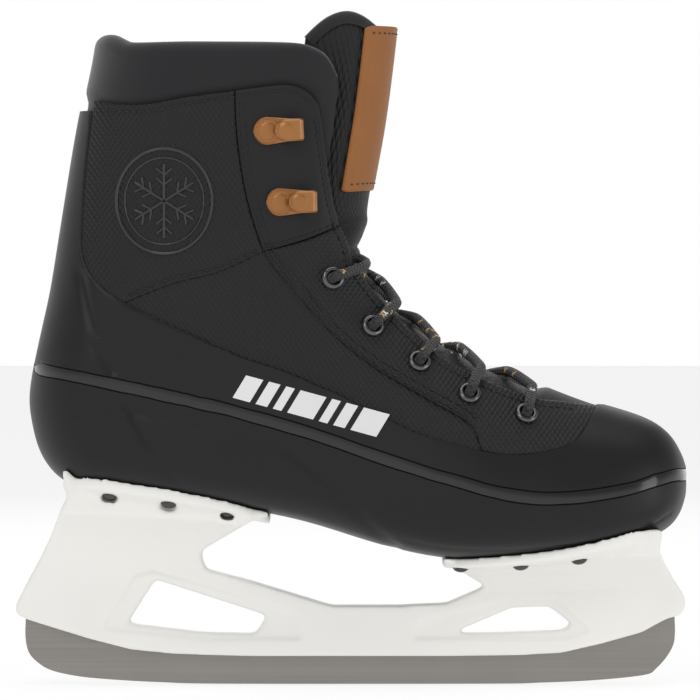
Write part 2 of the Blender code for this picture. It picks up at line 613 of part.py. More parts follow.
# Runner bolts stand in the towers and grip the runner's lugs; nuts under the sole.
for word, x, lug in boltSpots:
    sole = onSole(x, 0)[0].z / mm
    nutTop = sole - 1.4
    bore = lathe("bore_cutter", [(0, nutTop + 6), (5.4, nutTop + 6), (5.4, nutTop - 5.0), (3.0, nutTop - 5.0),
                                 (3.0, lug + 7.0), (4.7, lug + 7.0), (4.7, lug - 8.5), (0, lug - 8.5)],
                 12, Matrix.Translation((x * mm, 0, 0)))
    combine(holder, bore, "DIFFERENCE")
    bolt = lathe("runner_bolt_" + word, [(0, nutTop - 0.2), (2.4, nutTop - 0.2), (2.4, lug + 6.5), (4.4, lug + 6.5),
                                         (4.4, lug - 8.0), (0, lug - 8.0)], 12, Matrix.Translation((x * mm, 0, 0)))
    slot = prism([(x - 9, lug + 0.4), (x - 9, lug - 12), (x + 9, lug - 12), (x + 9, lug + 0.4)],
                 -runnerHalf - 0.25, runnerHalf + 0.25)
    combine(bolt, slot, "DIFFERENCE")
    finish(bolt, "rivet_steel")
    nut = lathe("runner_nut_" + word, [(3.1, nutTop - 4.6), (5.0, nutTop - 4.6), (5.0, nutTop - 0.6),
                                       (3.1, nutTop - 0.6)], 6, Matrix.Translation((x * mm, 0, 0)))
    finish(nut, "rivet_steel")

# Sole rivets through the flange and the shell.
for side, word in ((-1, "right"), (1, "left")):
    for tag, x, y in rivetSpots:
        point, normal = onSole(x, side * y + shiftAt(x))
        place = placeAt(point, normal)
        for sheet in (shell, holder):
            hole = lathe("hole_cutter", [(0, 16), (4.7, 16), (4.7, flangeThick), (2.3, flangeThick), (2.3, -4),
                                         (0, -4)], 8, place)
            combine(sheet, hole, "DIFFERENCE")
        low = flangeThick + 0.3
        profile = [(0, low + 1.6), (3.7, low), (1.9, low), (1.9, -2.2), (2.6, -2.2), (2.6, -3.0), (0, -3.0)]
        finish(lathe("rivet_%s_%s" % (word, tag), profile, 8, place), "rivet_steel")
finish(shell, "shell_black")
finish(holder, "holder_white")


# Lace: criss-cross through five rows, both ends tucked inside the boot.
def sheetSpot(x, z, side, depth):
    point, normal = onBoot(x, z, side)
    return point + normal * depth * mm


def edgeSpot(row, side, depth, back=1.2):
    # Point over or under the eyestay's edge, abreast of an eyelet row.
    spots = [Vector(p) for p in smoothLine(frontEdge, 120)]
    near = min(spots, key=lambda p: (p - Vector(eyeletSpots[row - 1])).length)
    inward = (Vector(eyeletSpots[row - 1]) - near).normalized() * back
    return sheetSpot(near.x + inward.x, near.y + inward.y, side, depth)


def topSpot(x, z, y, depth):
    # Nearest place on the crest of the instep, moved sideways.
    near = min(np.linspace(3.0, 13.0, 300), key=lambda u: np.hypot(*(curveRow(bootStations, u)[2:4] - (x, z))))
    crest = curveRow(bootStations, near)[2:4]
    out = topNormal(near)
    ahead = Vector((out[0], 0.0, out[1]))
    hit = probeTree.ray_cast((Vector((crest[0], y + shiftAt(crest[0]), crest[1])) + ahead * 30) * mm, -ahead)
    return hit[0] + hit[1] * depth * mm


def eyeletSpot(row, side, depth):
    point, normal = eyeletPlaces[(row, side)]
    return point + normal * depth * mm


under = -6.2
over = 3.4
loopTop = 4.5


def strand(row, side, depth):
    # Out of one eyelet, over the edge and under the opposite edge to the next row.
    start = edgeSpot(row, side, over)
    after = edgeSpot(row, side, over - 0.8, -2.5)
    before = edgeSpot(row - 1, -side, under + 0.1, -2.2)
    end = edgeSpot(row - 1, -side, under)
    middle = (start + end) / 2 / mm
    centre = topSpot(middle.x, middle.z, 0.0, depth)
    return [eyeletSpot(row, side, under), eyeletSpot(row, side, loopTop), start, after, centre, before, end]


def tail(side):
    sheet = [(3.0, 185.2, over), (6.0, 187.4, 0.6), (5.0, 190.6, -3.6), (2.0, 191.4, -6.5), (-4.5, 191.0, -6.6),
             (-12.0, 187.0, -6.6), (-20.0, 179.0, -7.6), (-25.0, 166.0, -7.8), (-23.0, 152.0, -7.8),
             (-12.0, 135.0, -7.8), (3.0, 118.0, -7.8), (20.0, 103.0, -7.8), (42.0, 92.0, -7.8), (66.0, 87.0, -7.8),
             (90.0, 86.0, -7.8), (106.0, 86.0, -7.8)]
    footbedRun = [(118.0, 21.0, 84.0), (116.0, 11.0, 80.0), (104.0, 8.0, 76.0), (80.0, 7.5, 72.5), (50.0, 7.5, 71.5),
                  (24.0, 8.0, 77.0)]
    points = [eyeletSpot(1, side, under), eyeletSpot(1, side, loopTop)]
    points += [sheetSpot(x, z, side, depth) for x, z, depth in sheet]
    return points + [Vector((x, side * y + shiftAt(x), z)) * mm for x, y, z in footbedRun]


def lacePath():
    halves = []
    for first in (-1, 1):
        points = []
        side = first
        for row in (5, 4, 3, 2):
            points += strand(row, side, -1.6 if side < 0 else -6.1)
            side = -side
        halves.append(points + tail(side))
    bar = [topSpot(79.0, 128.0, y, under) for y in (-22.0, -12.0, 0.0, 12.0, 22.0)]
    return list(reversed(halves[0])) + bar + halves[1]


path = lacePath()
curve = bpy.data.curves.new("lace", "CURVE")
curve.dimensions = "3D"
curve.bevel_depth = laceRadius * mm
curve.bevel_resolution = 1
curve.use_fill_caps = True
line = curve.splines.new("POLY")
line.points.add(len(path) - 1)
for spot, place in zip(line.points, path):
    spot.co = (*place, 1.0)
drawn = bpy.data.objects.new("lace_line", curve)
partSet.objects.link(drawn)
mesh = bpy.data.meshes.new_from_object(drawn.evaluated_get(bpy.context.evaluated_depsgraph_get()))
bpy.data.objects.remove(drawn, do_unlink=True)
lace = bpy.data.objects.new("lace", mesh)
partSet.objects.link(lace)
bm = bmesh.new()
bm.from_mesh(mesh)
bmesh.ops.remove_doubles(bm, verts=bm.verts, dist=0.00002)
bmesh.ops.recalc_face_normals(bm, faces=bm.faces)
bm.to_mesh(mesh)
bm.free()
finish(lace, "lace_black")
length = sum((b - a).length for a, b in zip(path, path[1:]))
print("lace length mm", round(length / mm), "points", len(path))

for end, inner, word in ((path[0], path[1], "right"), (path[-1], path[-2], "left")):
    way = (end - inner).normalized()
    place = placeAt(end + way * 0.4 * mm, way)
    finish(lathe("aglet_" + word, [(0, 0), (1.9, 0), (1.9, 20.0), (0, 20.0)], 8, place), "aglet_black")

total = 0
for obj in partSet.objects:
    total += len(obj.data.polygons)
print("objects", len(partSet.objects), "triangles", total)
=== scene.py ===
# Right ice skate: moulded black boot, white blade holder, steel runner, tan hooks and label.
import math

import bmesh
import bpy
import numpy as np
from mathutils import Matrix, Vector
from mathutils.bvhtree import BVHTree


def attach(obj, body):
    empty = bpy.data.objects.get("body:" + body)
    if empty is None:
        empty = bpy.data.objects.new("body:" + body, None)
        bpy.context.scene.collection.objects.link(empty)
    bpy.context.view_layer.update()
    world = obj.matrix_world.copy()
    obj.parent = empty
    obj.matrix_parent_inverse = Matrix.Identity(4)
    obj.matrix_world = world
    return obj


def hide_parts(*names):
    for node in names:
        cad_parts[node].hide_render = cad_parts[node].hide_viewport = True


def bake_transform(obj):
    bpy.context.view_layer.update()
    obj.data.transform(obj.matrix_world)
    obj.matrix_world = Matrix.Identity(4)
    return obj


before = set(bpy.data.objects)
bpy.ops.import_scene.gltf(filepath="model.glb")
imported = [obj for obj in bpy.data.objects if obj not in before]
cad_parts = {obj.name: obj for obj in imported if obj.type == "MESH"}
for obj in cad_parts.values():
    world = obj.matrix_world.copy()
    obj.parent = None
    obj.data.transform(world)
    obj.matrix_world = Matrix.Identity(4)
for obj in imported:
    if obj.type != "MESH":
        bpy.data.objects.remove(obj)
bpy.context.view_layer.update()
mm = 0.001

# The boot's own stations, as built: sole or back point, top or front point, half width,
# depth and fullness of the sole rounding, depth of the top rounding, all in millimetres.
bootRows = [
    (149, 83, 149.2, 97, 9, 7, 2, 7), (146.5, 76, 147, 103, 20.5, 11, 2.4, 16),
    (141, 69.5, 141.5, 111.5, 30.5, 13.5, 2.8, 28), (130, 64.5, 130, 119, 39.5, 15, 3.2, 38),
    (107, 60, 104.5, 127, 47.5, 15, 4, 50), (75.5, 57, 76, 138.5, 51, 16, 4, 60),
    (44.5, 56.5, 50, 151, 50, 17, 4, 66), (13.5, 62.5, 29, 165, 46, 18, 4, 66),
    (-24.5, 74, 15, 179.5, 42, 20, 3.6, 58), (-69, 81.5, 10.5, 189.5, 39.5, 24, 3.4, 44),
    (-111, 86.5, 9, 194, 38, 28, 3, 34), (-127.5, 90.5, 8.5, 195.5, 37.5, 30, 2.6, 32),
    (-137.5, 101.5, 8, 197, 37, 34, 2.2, 32), (-142, 116.5, 8, 198.5, 37, 36, 2.1, 32),
    (-143, 131.5, 8, 200, 37, 38, 2, 32), (-138, 156.5, 8.2, 203, 37, 40, 2, 32),
    (-134, 174.5, 8.6, 206.5, 37, 40, 2, 33), (-130, 199, 9, 214.5, 37.5, 40, 2, 36),
    (-122, 248, 15, 248, 39, 42, 2, 42), (-115.5, 278, 19, 278, 41, 42, 2, 45),
    (-112, 305.5, 22, 305.5, 42, 42, 2, 46)]
bootLines = {
    "shellEdge": [(-114.5, 259.5), (-118, 228.5), (-119.5, 202.5), (-119, 190), (-112, 178.5),
                  (-98, 169), (-74, 157.5), (-50.5, 147), (-17, 134.5), (15, 119.5),
                  (33, 111.5), (57.5, 105.5), (72, 103.5), (94, 107), (103, 113), (109.5, 125)],
    "cuffTop": [(-112.5, 258.5), (-98.5, 256.5), (-86.5, 257), (-71.5, 260), (-51, 263),
                (-31, 265.5), (-22.5, 264.5), (-17, 261), (-14, 256)],
    "frontEdge": [(-14, 256), (-12.5, 248.5), (-11.5, 240.5), (-8, 218), (-5, 206.5), (-0.5, 195.5),
                  (1.5, 188), (6, 181), (18.5, 166), (35, 150.5), (45, 143.5), (66, 133.5),
                  (82, 128.5), (95, 127), (108.5, 125)],
    "ankleSeam": [(-38.5, 192.5), (-42.5, 204), (-46.5, 219), (-49, 234), (-50.5, 248.5), (-51, 263)],
    "eyestaySeam": [(-38.5, 192.5), (-31.5, 182.5), (-11.5, 160), (8.5, 143.5), (30, 130.5), (50.5, 118.5),
                    (56, 106.5)],
    "ankleFoot": [(-98.5, 171), (-78, 179), (-57.5, 184), (-38.5, 192.5)],
    "hookFoot": [(-38.5, 192.5), (-18.5, 198), (-4, 204)],
    "band": [(-165, 147), (-130.5, 139.5), (-98, 132.5), (-57.5, 123.5), (-16.5, 112), (22, 99),
             (59.5, 88), (79, 84.5), (98, 84.5), (119.5, 87.5), (136, 92), (146, 93.5), (160, 90)]}
eyeletSpots = [(-8, 181), (9.5, 160), (30, 144.5), (52, 130.5), (77, 121.5)]


def curveAt(rows, u):
    # Smooth curve through the rows of a table.
    table = np.asarray(rows, dtype=float)
    i = int(min(max(math.floor(u), 0), len(table) - 2))
    f = u - i
    a, b, c, d = table[max(i - 1, 0)], table[i], table[i + 1], table[min(i + 2, len(table) - 1)]
    return 0.5 * (2 * b + (c - a) * f + (2 * a - 5 * b + 4 * c - d) * f ** 2 + (3 * b - a - 3 * c + d) * f ** 3)


def travelled(line):
    # Distance run at each point of a line.
    return np.concatenate([[0], np.cumsum(np.linalg.norm(np.diff(line, axis=0), axis=1))])


def unitRows(table):
    return table / np.linalg.norm(table, axis=-1, keepdims=True)


def evenLine(points, count, smooth=True):
    # The same curve as evenly spaced points.
    table = np.asarray(points, dtype=float)
    if smooth:
        table = np.array([curveAt(table, u) for u in np.linspace(0, len(table) - 1, 24 * len(table))])
    run = travelled(table)
    spots = np.linspace(0, run[-1], count) if np.isscalar(count) else np.asarray(count) * run[-1]
    return np.stack([np.interp(spots, run, table[:, k]) for k in range(table.shape[1])], axis=1)


def easeStep(f):
    f = np.clip(f, 0, 1)
    return f * f * (3 - 2 * f)


def roundOff(reach, radius):
    # Rises from 0 at an edge to 1 a radius inside it, as a rounded edge does.
    return math.sqrt(max(1 - (1 - min(reach / radius, 1)) ** 2, 0))


def toeLean(x):
    return 6.0 * easeStep((np.asarray(x) - 20) / 130)


# Boot surface: rings fanning from the toe round the heel to the cuff, near half only.
rowCount, ringCount = 401, 181
stationStep = np.linspace(0, len(bootRows) - 1, rowCount)
bootHalf = np.zeros((rowCount, ringCount, 3))
for i, u in enumerate(stationStep):
    row = curveAt(bootRows, u)
    sole, top = row[0:2], row[2:4]
    length = np.linalg.norm(top - sole)
    s = (1 - np.cos(np.linspace(0, math.pi, 401))) / 2
    low = np.clip(s * length / row[5], 0, 1)
    high = np.clip((1 - s) * length / row[7], 0, 1)
    width = row[4] * (1 - (1 - low) ** 2) ** (1 / row[6]) * np.sqrt(1 - (1 - high) ** 2)
    ring = evenLine(np.stack([s * length, width], axis=1), ringCount, False)
    way = (top - sole) / length
    bootHalf[i, :, 0] = sole[0] + way[0] * ring[:, 0]
    bootHalf[i, :, 1] = -ring[:, 1]
    bootHalf[i, :, 2] = sole[1] + way[1] * ring[:, 0]
for turn in range(36):
    bootHalf[1:-1] = (bootHalf[:-2] + 2 * bootHalf[1:-1] + bootHalf[2:]) / 4
outHalf = np.cross(np.gradient(bootHalf, axis=0), np.gradient(bootHalf, axis=1))
outHalf[:, 0, 1] = 0
outHalf[:, -1, 1] = 0
outHalf /= np.linalg.norm(outHalf, axis=2, keepdims=True) + 1e-9
if outHalf[100, 90, 1] > 0:
    outHalf = -outHalf


def mirrored(points, side):
    result = np.array(points, dtype=float)
    if side > 0:
        result[..., 1] *= -1
    return result


def leaned(points):
    result = np.array(points, dtype=float)
    result[..., 1] += toeLean(result[..., 0])
    return result


sides = {side: (leaned(mirrored(bootHalf, side)), mirrored(outHalf, side)) for side in (-1, 1)}
sideWords = {-1: "right", 1: "left"}
quads = []
for block in (0, rowCount * ringCount):
    for i in range(rowCount - 1):
        base = block + i * ringCount
        quads += [(j, j + 1, j + 1 + ringCount, j + ringCount) for j in range(base, base + ringCount - 1)]
allSpots = np.concatenate([sides[-1][0].reshape(-1, 3), sides[1][0].reshape(-1, 3)])
allOuts = np.concatenate([sides[-1][1].reshape(-1, 3), sides[1][1].reshape(-1, 3)])
bootTree = BVHTree.FromPolygons([tuple(p) for p in allSpots], quads)


def placeOn(hit, depth):
    corners = list(quads[hit[2]])
    near = np.linalg.norm(allSpots[corners] - np.array(hit[0]), axis=1) + 1e-4
    out = (allOuts[corners] / near[:, None]).sum(axis=0)
    out /= np.linalg.norm(out)
    return np.array(hit[0]) + out * depth, out


def sideSpot(x, z, side, depth=0):
    # Place on the boot's flank seen from the side, and its outward direction.
    hit = bootTree.ray_cast(Vector((x, side * 150, z)), Vector((0, -side, 0)))
    if hit[0] is None:
        hit = bootTree.find_nearest(Vector((x, side * 15, z)))
    return placeOn(hit, depth)


def uAt(x, z):
    crest = bootHalf[:, -1, [0, 2]]
    return int(np.argmin(np.hypot(*(crest[:260] - (x, z)).T)))


def topSpot(x, z, y, depth):
    # Nearest place on the crest of the instep, moved sideways.
    i = uAt(x, z)
    crest, out = bootHalf[i, -1], outHalf[i, -1]
    start = Vector((crest[0], y + float(toeLean(crest[0])), crest[2])) + Vector(out) * 30
    return placeOn(bootTree.ray_cast(start, -Vector(out)), depth)[0]


print("boot surface ready")


def standFor(piece, slot, *nodes, body="boot"):
    # What a finished piece replaces and the body it moves with; the finish slot is not used.
    if nodes:
        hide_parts(*nodes)
    if body:
        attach(piece, body)


# Mesh helpers.
def finishPiece(name, bm, material, smooth=True, angle=40):
    mesh = bpy.data.meshes.new(name)
    bm.to_mesh(mesh)
    bm.free()
    piece = bpy.data.objects.new(name, mesh)
    bpy.context.scene.collection.objects.link(piece)
    if material:
        mesh.materials.append(material)
    for face in mesh.polygons:
        face.use_smooth = smooth
    if smooth and angle:
        mesh.set_sharp_from_angle(angle=math.radians(angle))
    return piece


def sheetPiece(name, spots, material, outs=None, uvs=None, wall=0, weld=0, fillEnds=False, angle=40):
    # A grid laid on the given spots, in millimetres, with its own UV map in metres.
    rows, columns = spots.shape[:2]
    bm = bmesh.new()
    uvLayer = bm.loops.layers.uv.new("UVMap")
    bmesh.ops.create_grid(bm, x_segments=rows - 1, y_segments=columns - 1, size=0.5)
    seats = {}
    for v in bm.verts:
        seats[v] = (round((v.co.x + 0.5) * (rows - 1)), round((v.co.y + 0.5) * (columns - 1)))
    if uvs is not None:
        for face in bm.faces:
            for loop in face.loops:
                loop[uvLayer].uv = uvs[seats[loop.vert]] * mm
    for v, seat in seats.items():
        v.co = spots[seat] * mm
    bm.normal_update()
    if outs is not None:
        facing = sum(v.normal.dot(Vector(outs[seat])) for v, seat in seats.items())
        if facing < 0:
            bmesh.ops.reverse_faces(bm, faces=bm.faces)
    if weld:
        bmesh.ops.remove_doubles(bm, verts=bm.verts, dist=weld * mm)
    if fillEnds:
        bmesh.ops.holes_fill(bm, edges=[e for e in bm.edges if e.is_boundary], sides=0)
    if outs is None:
        bmesh.ops.recalc_face_normals(bm, faces=bm.faces)
    piece = finishPiece(name, bm, material, True, angle)
    if wall:
        step = piece.modifiers.new("wall", "SOLIDIFY")
        step.thickness = wall * mm
        step.offset = -1
        step.use_even_offset = False
        bake(piece, angle)
    return piece


def bake(piece, angle=40):
    graph = bpy.context.evaluated_depsgraph_get()
    mesh = bpy.data.meshes.new_from_object(piece.evaluated_get(graph))
    piece.modifiers.clear()
    piece.data = mesh
    if angle:
        mesh.set_sharp_from_angle(angle=math.radians(angle))


def spinPiece(name, profile, steps, place, material, angle=35):
    # Profile of (radius, height) turned about local Z; closed profiles start off the axis.
    bm = bmesh.new()
    verts = [bm.verts.new((r * mm, 0, h * mm)) for r, h in profile]
    pairs = list(zip(verts, verts[1:])) + ([(verts[-1], verts[0])] if profile[0][0] > 0 else [])
    edges = [bm.edges.new(pair) for pair in pairs]
    bmesh.ops.spin(bm, geom=verts + edges, cent=(0, 0, 0), axis=(0, 0, 1), angle=2 * math.pi, steps=steps,
                   use_merge=True)
    bmesh.ops.remove_doubles(bm, verts=bm.verts, dist=1e-6)
    bmesh.ops.transform(bm, matrix=place, verts=bm.verts)
    bmesh.ops.recalc_face_normals(bm, faces=bm.faces)
    return finishPiece(name, bm, material, True, angle)


def joinPieces(name, pieces):
    # Several meshes as one piece; their places are already in the meshes.
    bm = bmesh.new()
    material = pieces[0].data.materials[0] if pieces[0].data.materials else None
    for piece in pieces:
        bm.from_mesh(piece.data)
        bpy.data.objects.remove(piece, do_unlink=True)
    return finishPiece(name, bm, material)


def frameAt(spot, out, ahead=Vector((1, 0, 0))):
    out = Vector(out).normalized()
    ahead = (Vector(ahead) - out * out.dot(Vector(ahead))).normalized()
    up = out.cross(ahead)
    return Matrix.Translation(Vector(spot) * mm) @ Matrix((ahead, up, out)).transposed().to_4x4()


# Shader groups.
def newGroup(name, measure, usual, results):
    # An effect read at a vector, with one measure to set.
    group = bpy.data.node_groups.new(name, "ShaderNodeTree")
    group.interface.new_socket(name="Vector", in_out="INPUT", socket_type="NodeSocketVector")
    group.interface.new_socket(name=measure, in_out="INPUT", socket_type="NodeSocketFloat").default_value = usual
    for label in results:
        group.interface.new_socket(name=label, in_out="OUTPUT", socket_type="NodeSocketFloat")
    return group, group.nodes.new("NodeGroupInput"), group.nodes.new("NodeGroupOutput")


def calc(tree, operation, a, b=None, c=None):
    node = tree.nodes.new("ShaderNodeMath")
    node.operation = operation
    for socket, value in zip(node.inputs, (a, b, c)):
        if value is None:
            continue
        if isinstance(value, (int, float)):
            socket.default_value = value
        else:
            tree.links.new(value, socket)
    return node.outputs[0]


def noiseNode(tree, vector, scale, detail=3, rough=0.55):
    node = tree.nodes.new("ShaderNodeTexNoise")
    node.inputs["Detail"].default_value = detail
    node.inputs["Roughness"].default_value = rough
    tree.links.new(vector, node.inputs["Vector"])
    if isinstance(scale, (int, float)):
        node.inputs["Scale"].default_value = scale
    else:
        tree.links.new(scale, node.inputs["Scale"])
    return node.outputs["Fac"]


def makeGrainGroup():
    # Fine leather pebbles with soft creases.
    tree, start, end = newGroup("hideGrain", "Scale", 900, ["Height", "Tone"])
    cells = tree.nodes.new("ShaderNodeTexVoronoi")
    cells.feature = "SMOOTH_F1"
    tree.links.new(start.outputs["Vector"], cells.inputs["Vector"])
    tree.links.new(start.outputs["Scale"], cells.inputs["Scale"])
    broad = noiseNode(tree, start.outputs["Vector"], calc(tree, "MULTIPLY", start.outputs["Scale"], 0.12), 4)
    fine = noiseNode(tree, start.outputs["Vector"], calc(tree, "MULTIPLY", start.outputs["Scale"], 2.2), 2)
    pebble = calc(tree, "SUBTRACT", 1, cells.outputs["Distance"])
    height = calc(tree, "ADD", calc(tree, "MULTIPLY", pebble, 0.6), calc(tree, "MULTIPLY", fine, 0.25))
    tree.links.new(calc(tree, "ADD", height, calc(tree, "MULTIPLY", broad, 0.3)), end.inputs["Height"])
    tree.links.new(broad, end.inputs["Tone"])
    return tree


def makeHatchGroup():
    # Embossed diamonds: two sets of slanted ridges, slightly uneven.
    tree, start, end = newGroup("diamondEmboss", "Pitch", 0.0019, ["Height", "Valley"])
    parts = tree.nodes.new("ShaderNodeSeparateXYZ")
    tree.links.new(start.outputs["Vector"], parts.inputs[0])
    wander = calc(tree, "MULTIPLY", noiseNode(tree, start.outputs["Vector"], 120, 2), 0.0012)
    rate = calc(tree, "DIVIDE", 6.2832, start.outputs["Pitch"])
    across = calc(tree, "ADD", parts.outputs[0], wander)
    rise = calc(tree, "MULTIPLY", parts.outputs[1], 0.72)
    one = calc(tree, "SINE", calc(tree, "MULTIPLY", calc(tree, "ADD", across, rise), rate))
    two = calc(tree, "SINE", calc(tree, "MULTIPLY", calc(tree, "SUBTRACT", across, rise), rate))
    ridge = calc(tree, "MULTIPLY", calc(tree, "ADD", one, 1), calc(tree, "ADD", two, 1))
    height = calc(tree, "POWER", calc(tree, "MULTIPLY", ridge, 0.25), 0.6)
    tree.links.new(height, end.inputs["Height"])
    tree.links.new(calc(tree, "SUBTRACT", 1, height), end.inputs["Valley"])
    return tree


def makeWeaveGroup():
    # Over and under threads of a tight weave.
    tree, start, end = newGroup("tightWeave", "Pitch", 0.0011, ["Height", "Thread"])
    parts = tree.nodes.new("ShaderNodeSeparateXYZ")
    tree.links.new(start.outputs["Vector"], parts.inputs[0])
    rate = calc(tree, "DIVIDE", 3.1416, start.outputs["Pitch"])
    one = calc(tree, "SINE", calc(tree, "MULTIPLY", parts.outputs[0], rate))
    two = calc(tree, "SINE", calc(tree, "MULTIPLY", parts.outputs[1], rate))
    knot = calc(tree, "ABSOLUTE", calc(tree, "MULTIPLY", one, two))
    fuzz = noiseNode(tree, start.outputs["Vector"], 2600, 2)
    tree.links.new(calc(tree, "ADD", knot, calc(tree, "MULTIPLY", fuzz, 0.5)), end.inputs["Height"])
    tree.links.new(knot, end.inputs["Thread"])
    return tree


def makeWearGroup():
    # Broad handling marks and fine dust, from 0 to 1.
    tree, start, end = newGroup("handlingWear", "Scale", 22, ["Patch", "Speck"])
    patch = noiseNode(tree, start.outputs["Vector"], start.outputs["Scale"], 5, 0.6)
    speck = noiseNode(tree, start.outputs["Vector"], calc(tree, "MULTIPLY", start.outputs["Scale"], 40), 2)
    tree.links.new(patch, end.inputs["Patch"])
    tree.links.new(calc(tree, "GREATER_THAN", speck, 0.70), end.inputs["Speck"])
    return tree


grainGroup = makeGrainGroup()
hatchGroup = makeHatchGroup()
weaveGroup = makeWeaveGroup()
wearGroup = makeWearGroup()


def useGroup(tree, group, vector, **values):
    node = tree.nodes.new("ShaderNodeGroup")
    node.node_tree = group
    tree.links.new(vector, node.inputs["Vector"])
    for label, value in values.items():
        node.inputs[label].default_value = value
    return node


def blendTone(tree, factor, one, two):
    node = tree.nodes.new("ShaderNodeMix")
    node.data_type = "RGBA"
    node.inputs["A"].default_value = (*one, 1)
    node.inputs["B"].default_value = (*two, 1)
    tree.links.new(factor, node.inputs["Factor"])
    return node.outputs["Result"]


def remap(tree, value, low, high):
    node = tree.nodes.new("ShaderNodeMapRange")
    node.inputs["To Min"].default_value = low
    node.inputs["To Max"].default_value = high
    tree.links.new(value, node.inputs["Value"])
    return node.outputs["Result"]


def newMaterial(name):
    material = bpy.data.materials.new(name)
    material.use_nodes = True
    tree = material.node_tree
    return material, tree, tree.nodes["Principled BSDF"], tree.nodes.new("ShaderNodeTexCoord")


def addBump(tree, height, distance, before=None):
    # A Bump node, on top of another when one is given.
    bump = tree.nodes.new("ShaderNodeBump")
    bump.inputs["Strength"].default_value = 1.0
    bump.inputs["Distance"].default_value = distance
    tree.links.new(height, bump.inputs["Height"])
    if before:
        tree.links.new(before.outputs["Normal"], bump.inputs["Normal"])
    return bump


def skinMaterial(name, tones, rough, pattern, size, depth, coordinates="UV", sheen=0, metal=0, coat=0,
                 grainSize=1100, grainDepth=0.00003, wearScale=22):
    # Two tones mottled by wear, roughness that varies, and a raised pattern with a finer grain; the pattern also
    # darkens its hollows and lightens its crests as painted shade.
    material, tree, shader, source = newMaterial(name)
    wear = useGroup(tree, wearGroup, source.outputs["Object"], Scale=wearScale)
    tone = wear.outputs["Patch"]
    grain = useGroup(tree, grainGroup, source.outputs["Object"], Scale=grainSize)
    bump = addBump(tree, grain.outputs["Height"], grainDepth)
    if pattern:
        label = "Pitch" if pattern in (hatchGroup, weaveGroup) else "Scale"
        raised = useGroup(tree, pattern, source.outputs[coordinates], **{label: size}).outputs["Height"]
        bump = addBump(tree, raised, depth, bump)
        # Painted shade: the tone is darkened in the pattern's hollows and lightened on its crests.
        tone = calc(tree, "MULTIPLY", tone, remap(tree, raised, 0.55, 1.2))
    tree.links.new(bump.outputs["Normal"], shader.inputs["Normal"])
    tree.links.new(blendTone(tree, tone, tones[0], tones[1]), shader.inputs["Base Color"])
    uneven = calc(tree, "ADD", wear.outputs["Patch"], calc(tree, "MULTIPLY", wear.outputs["Speck"], 0.25))
    tree.links.new(remap(tree, uneven, rough[0], rough[1]), shader.inputs["Roughness"])
    fixed = {"Metallic": metal, "Sheen Weight": sheen, "Coat Weight": coat, "Coat Roughness": 0.12,
             "Specular IOR Level": 0.28}
    for label, value in fixed.items():
        shader.inputs[label].default_value = value
    return material


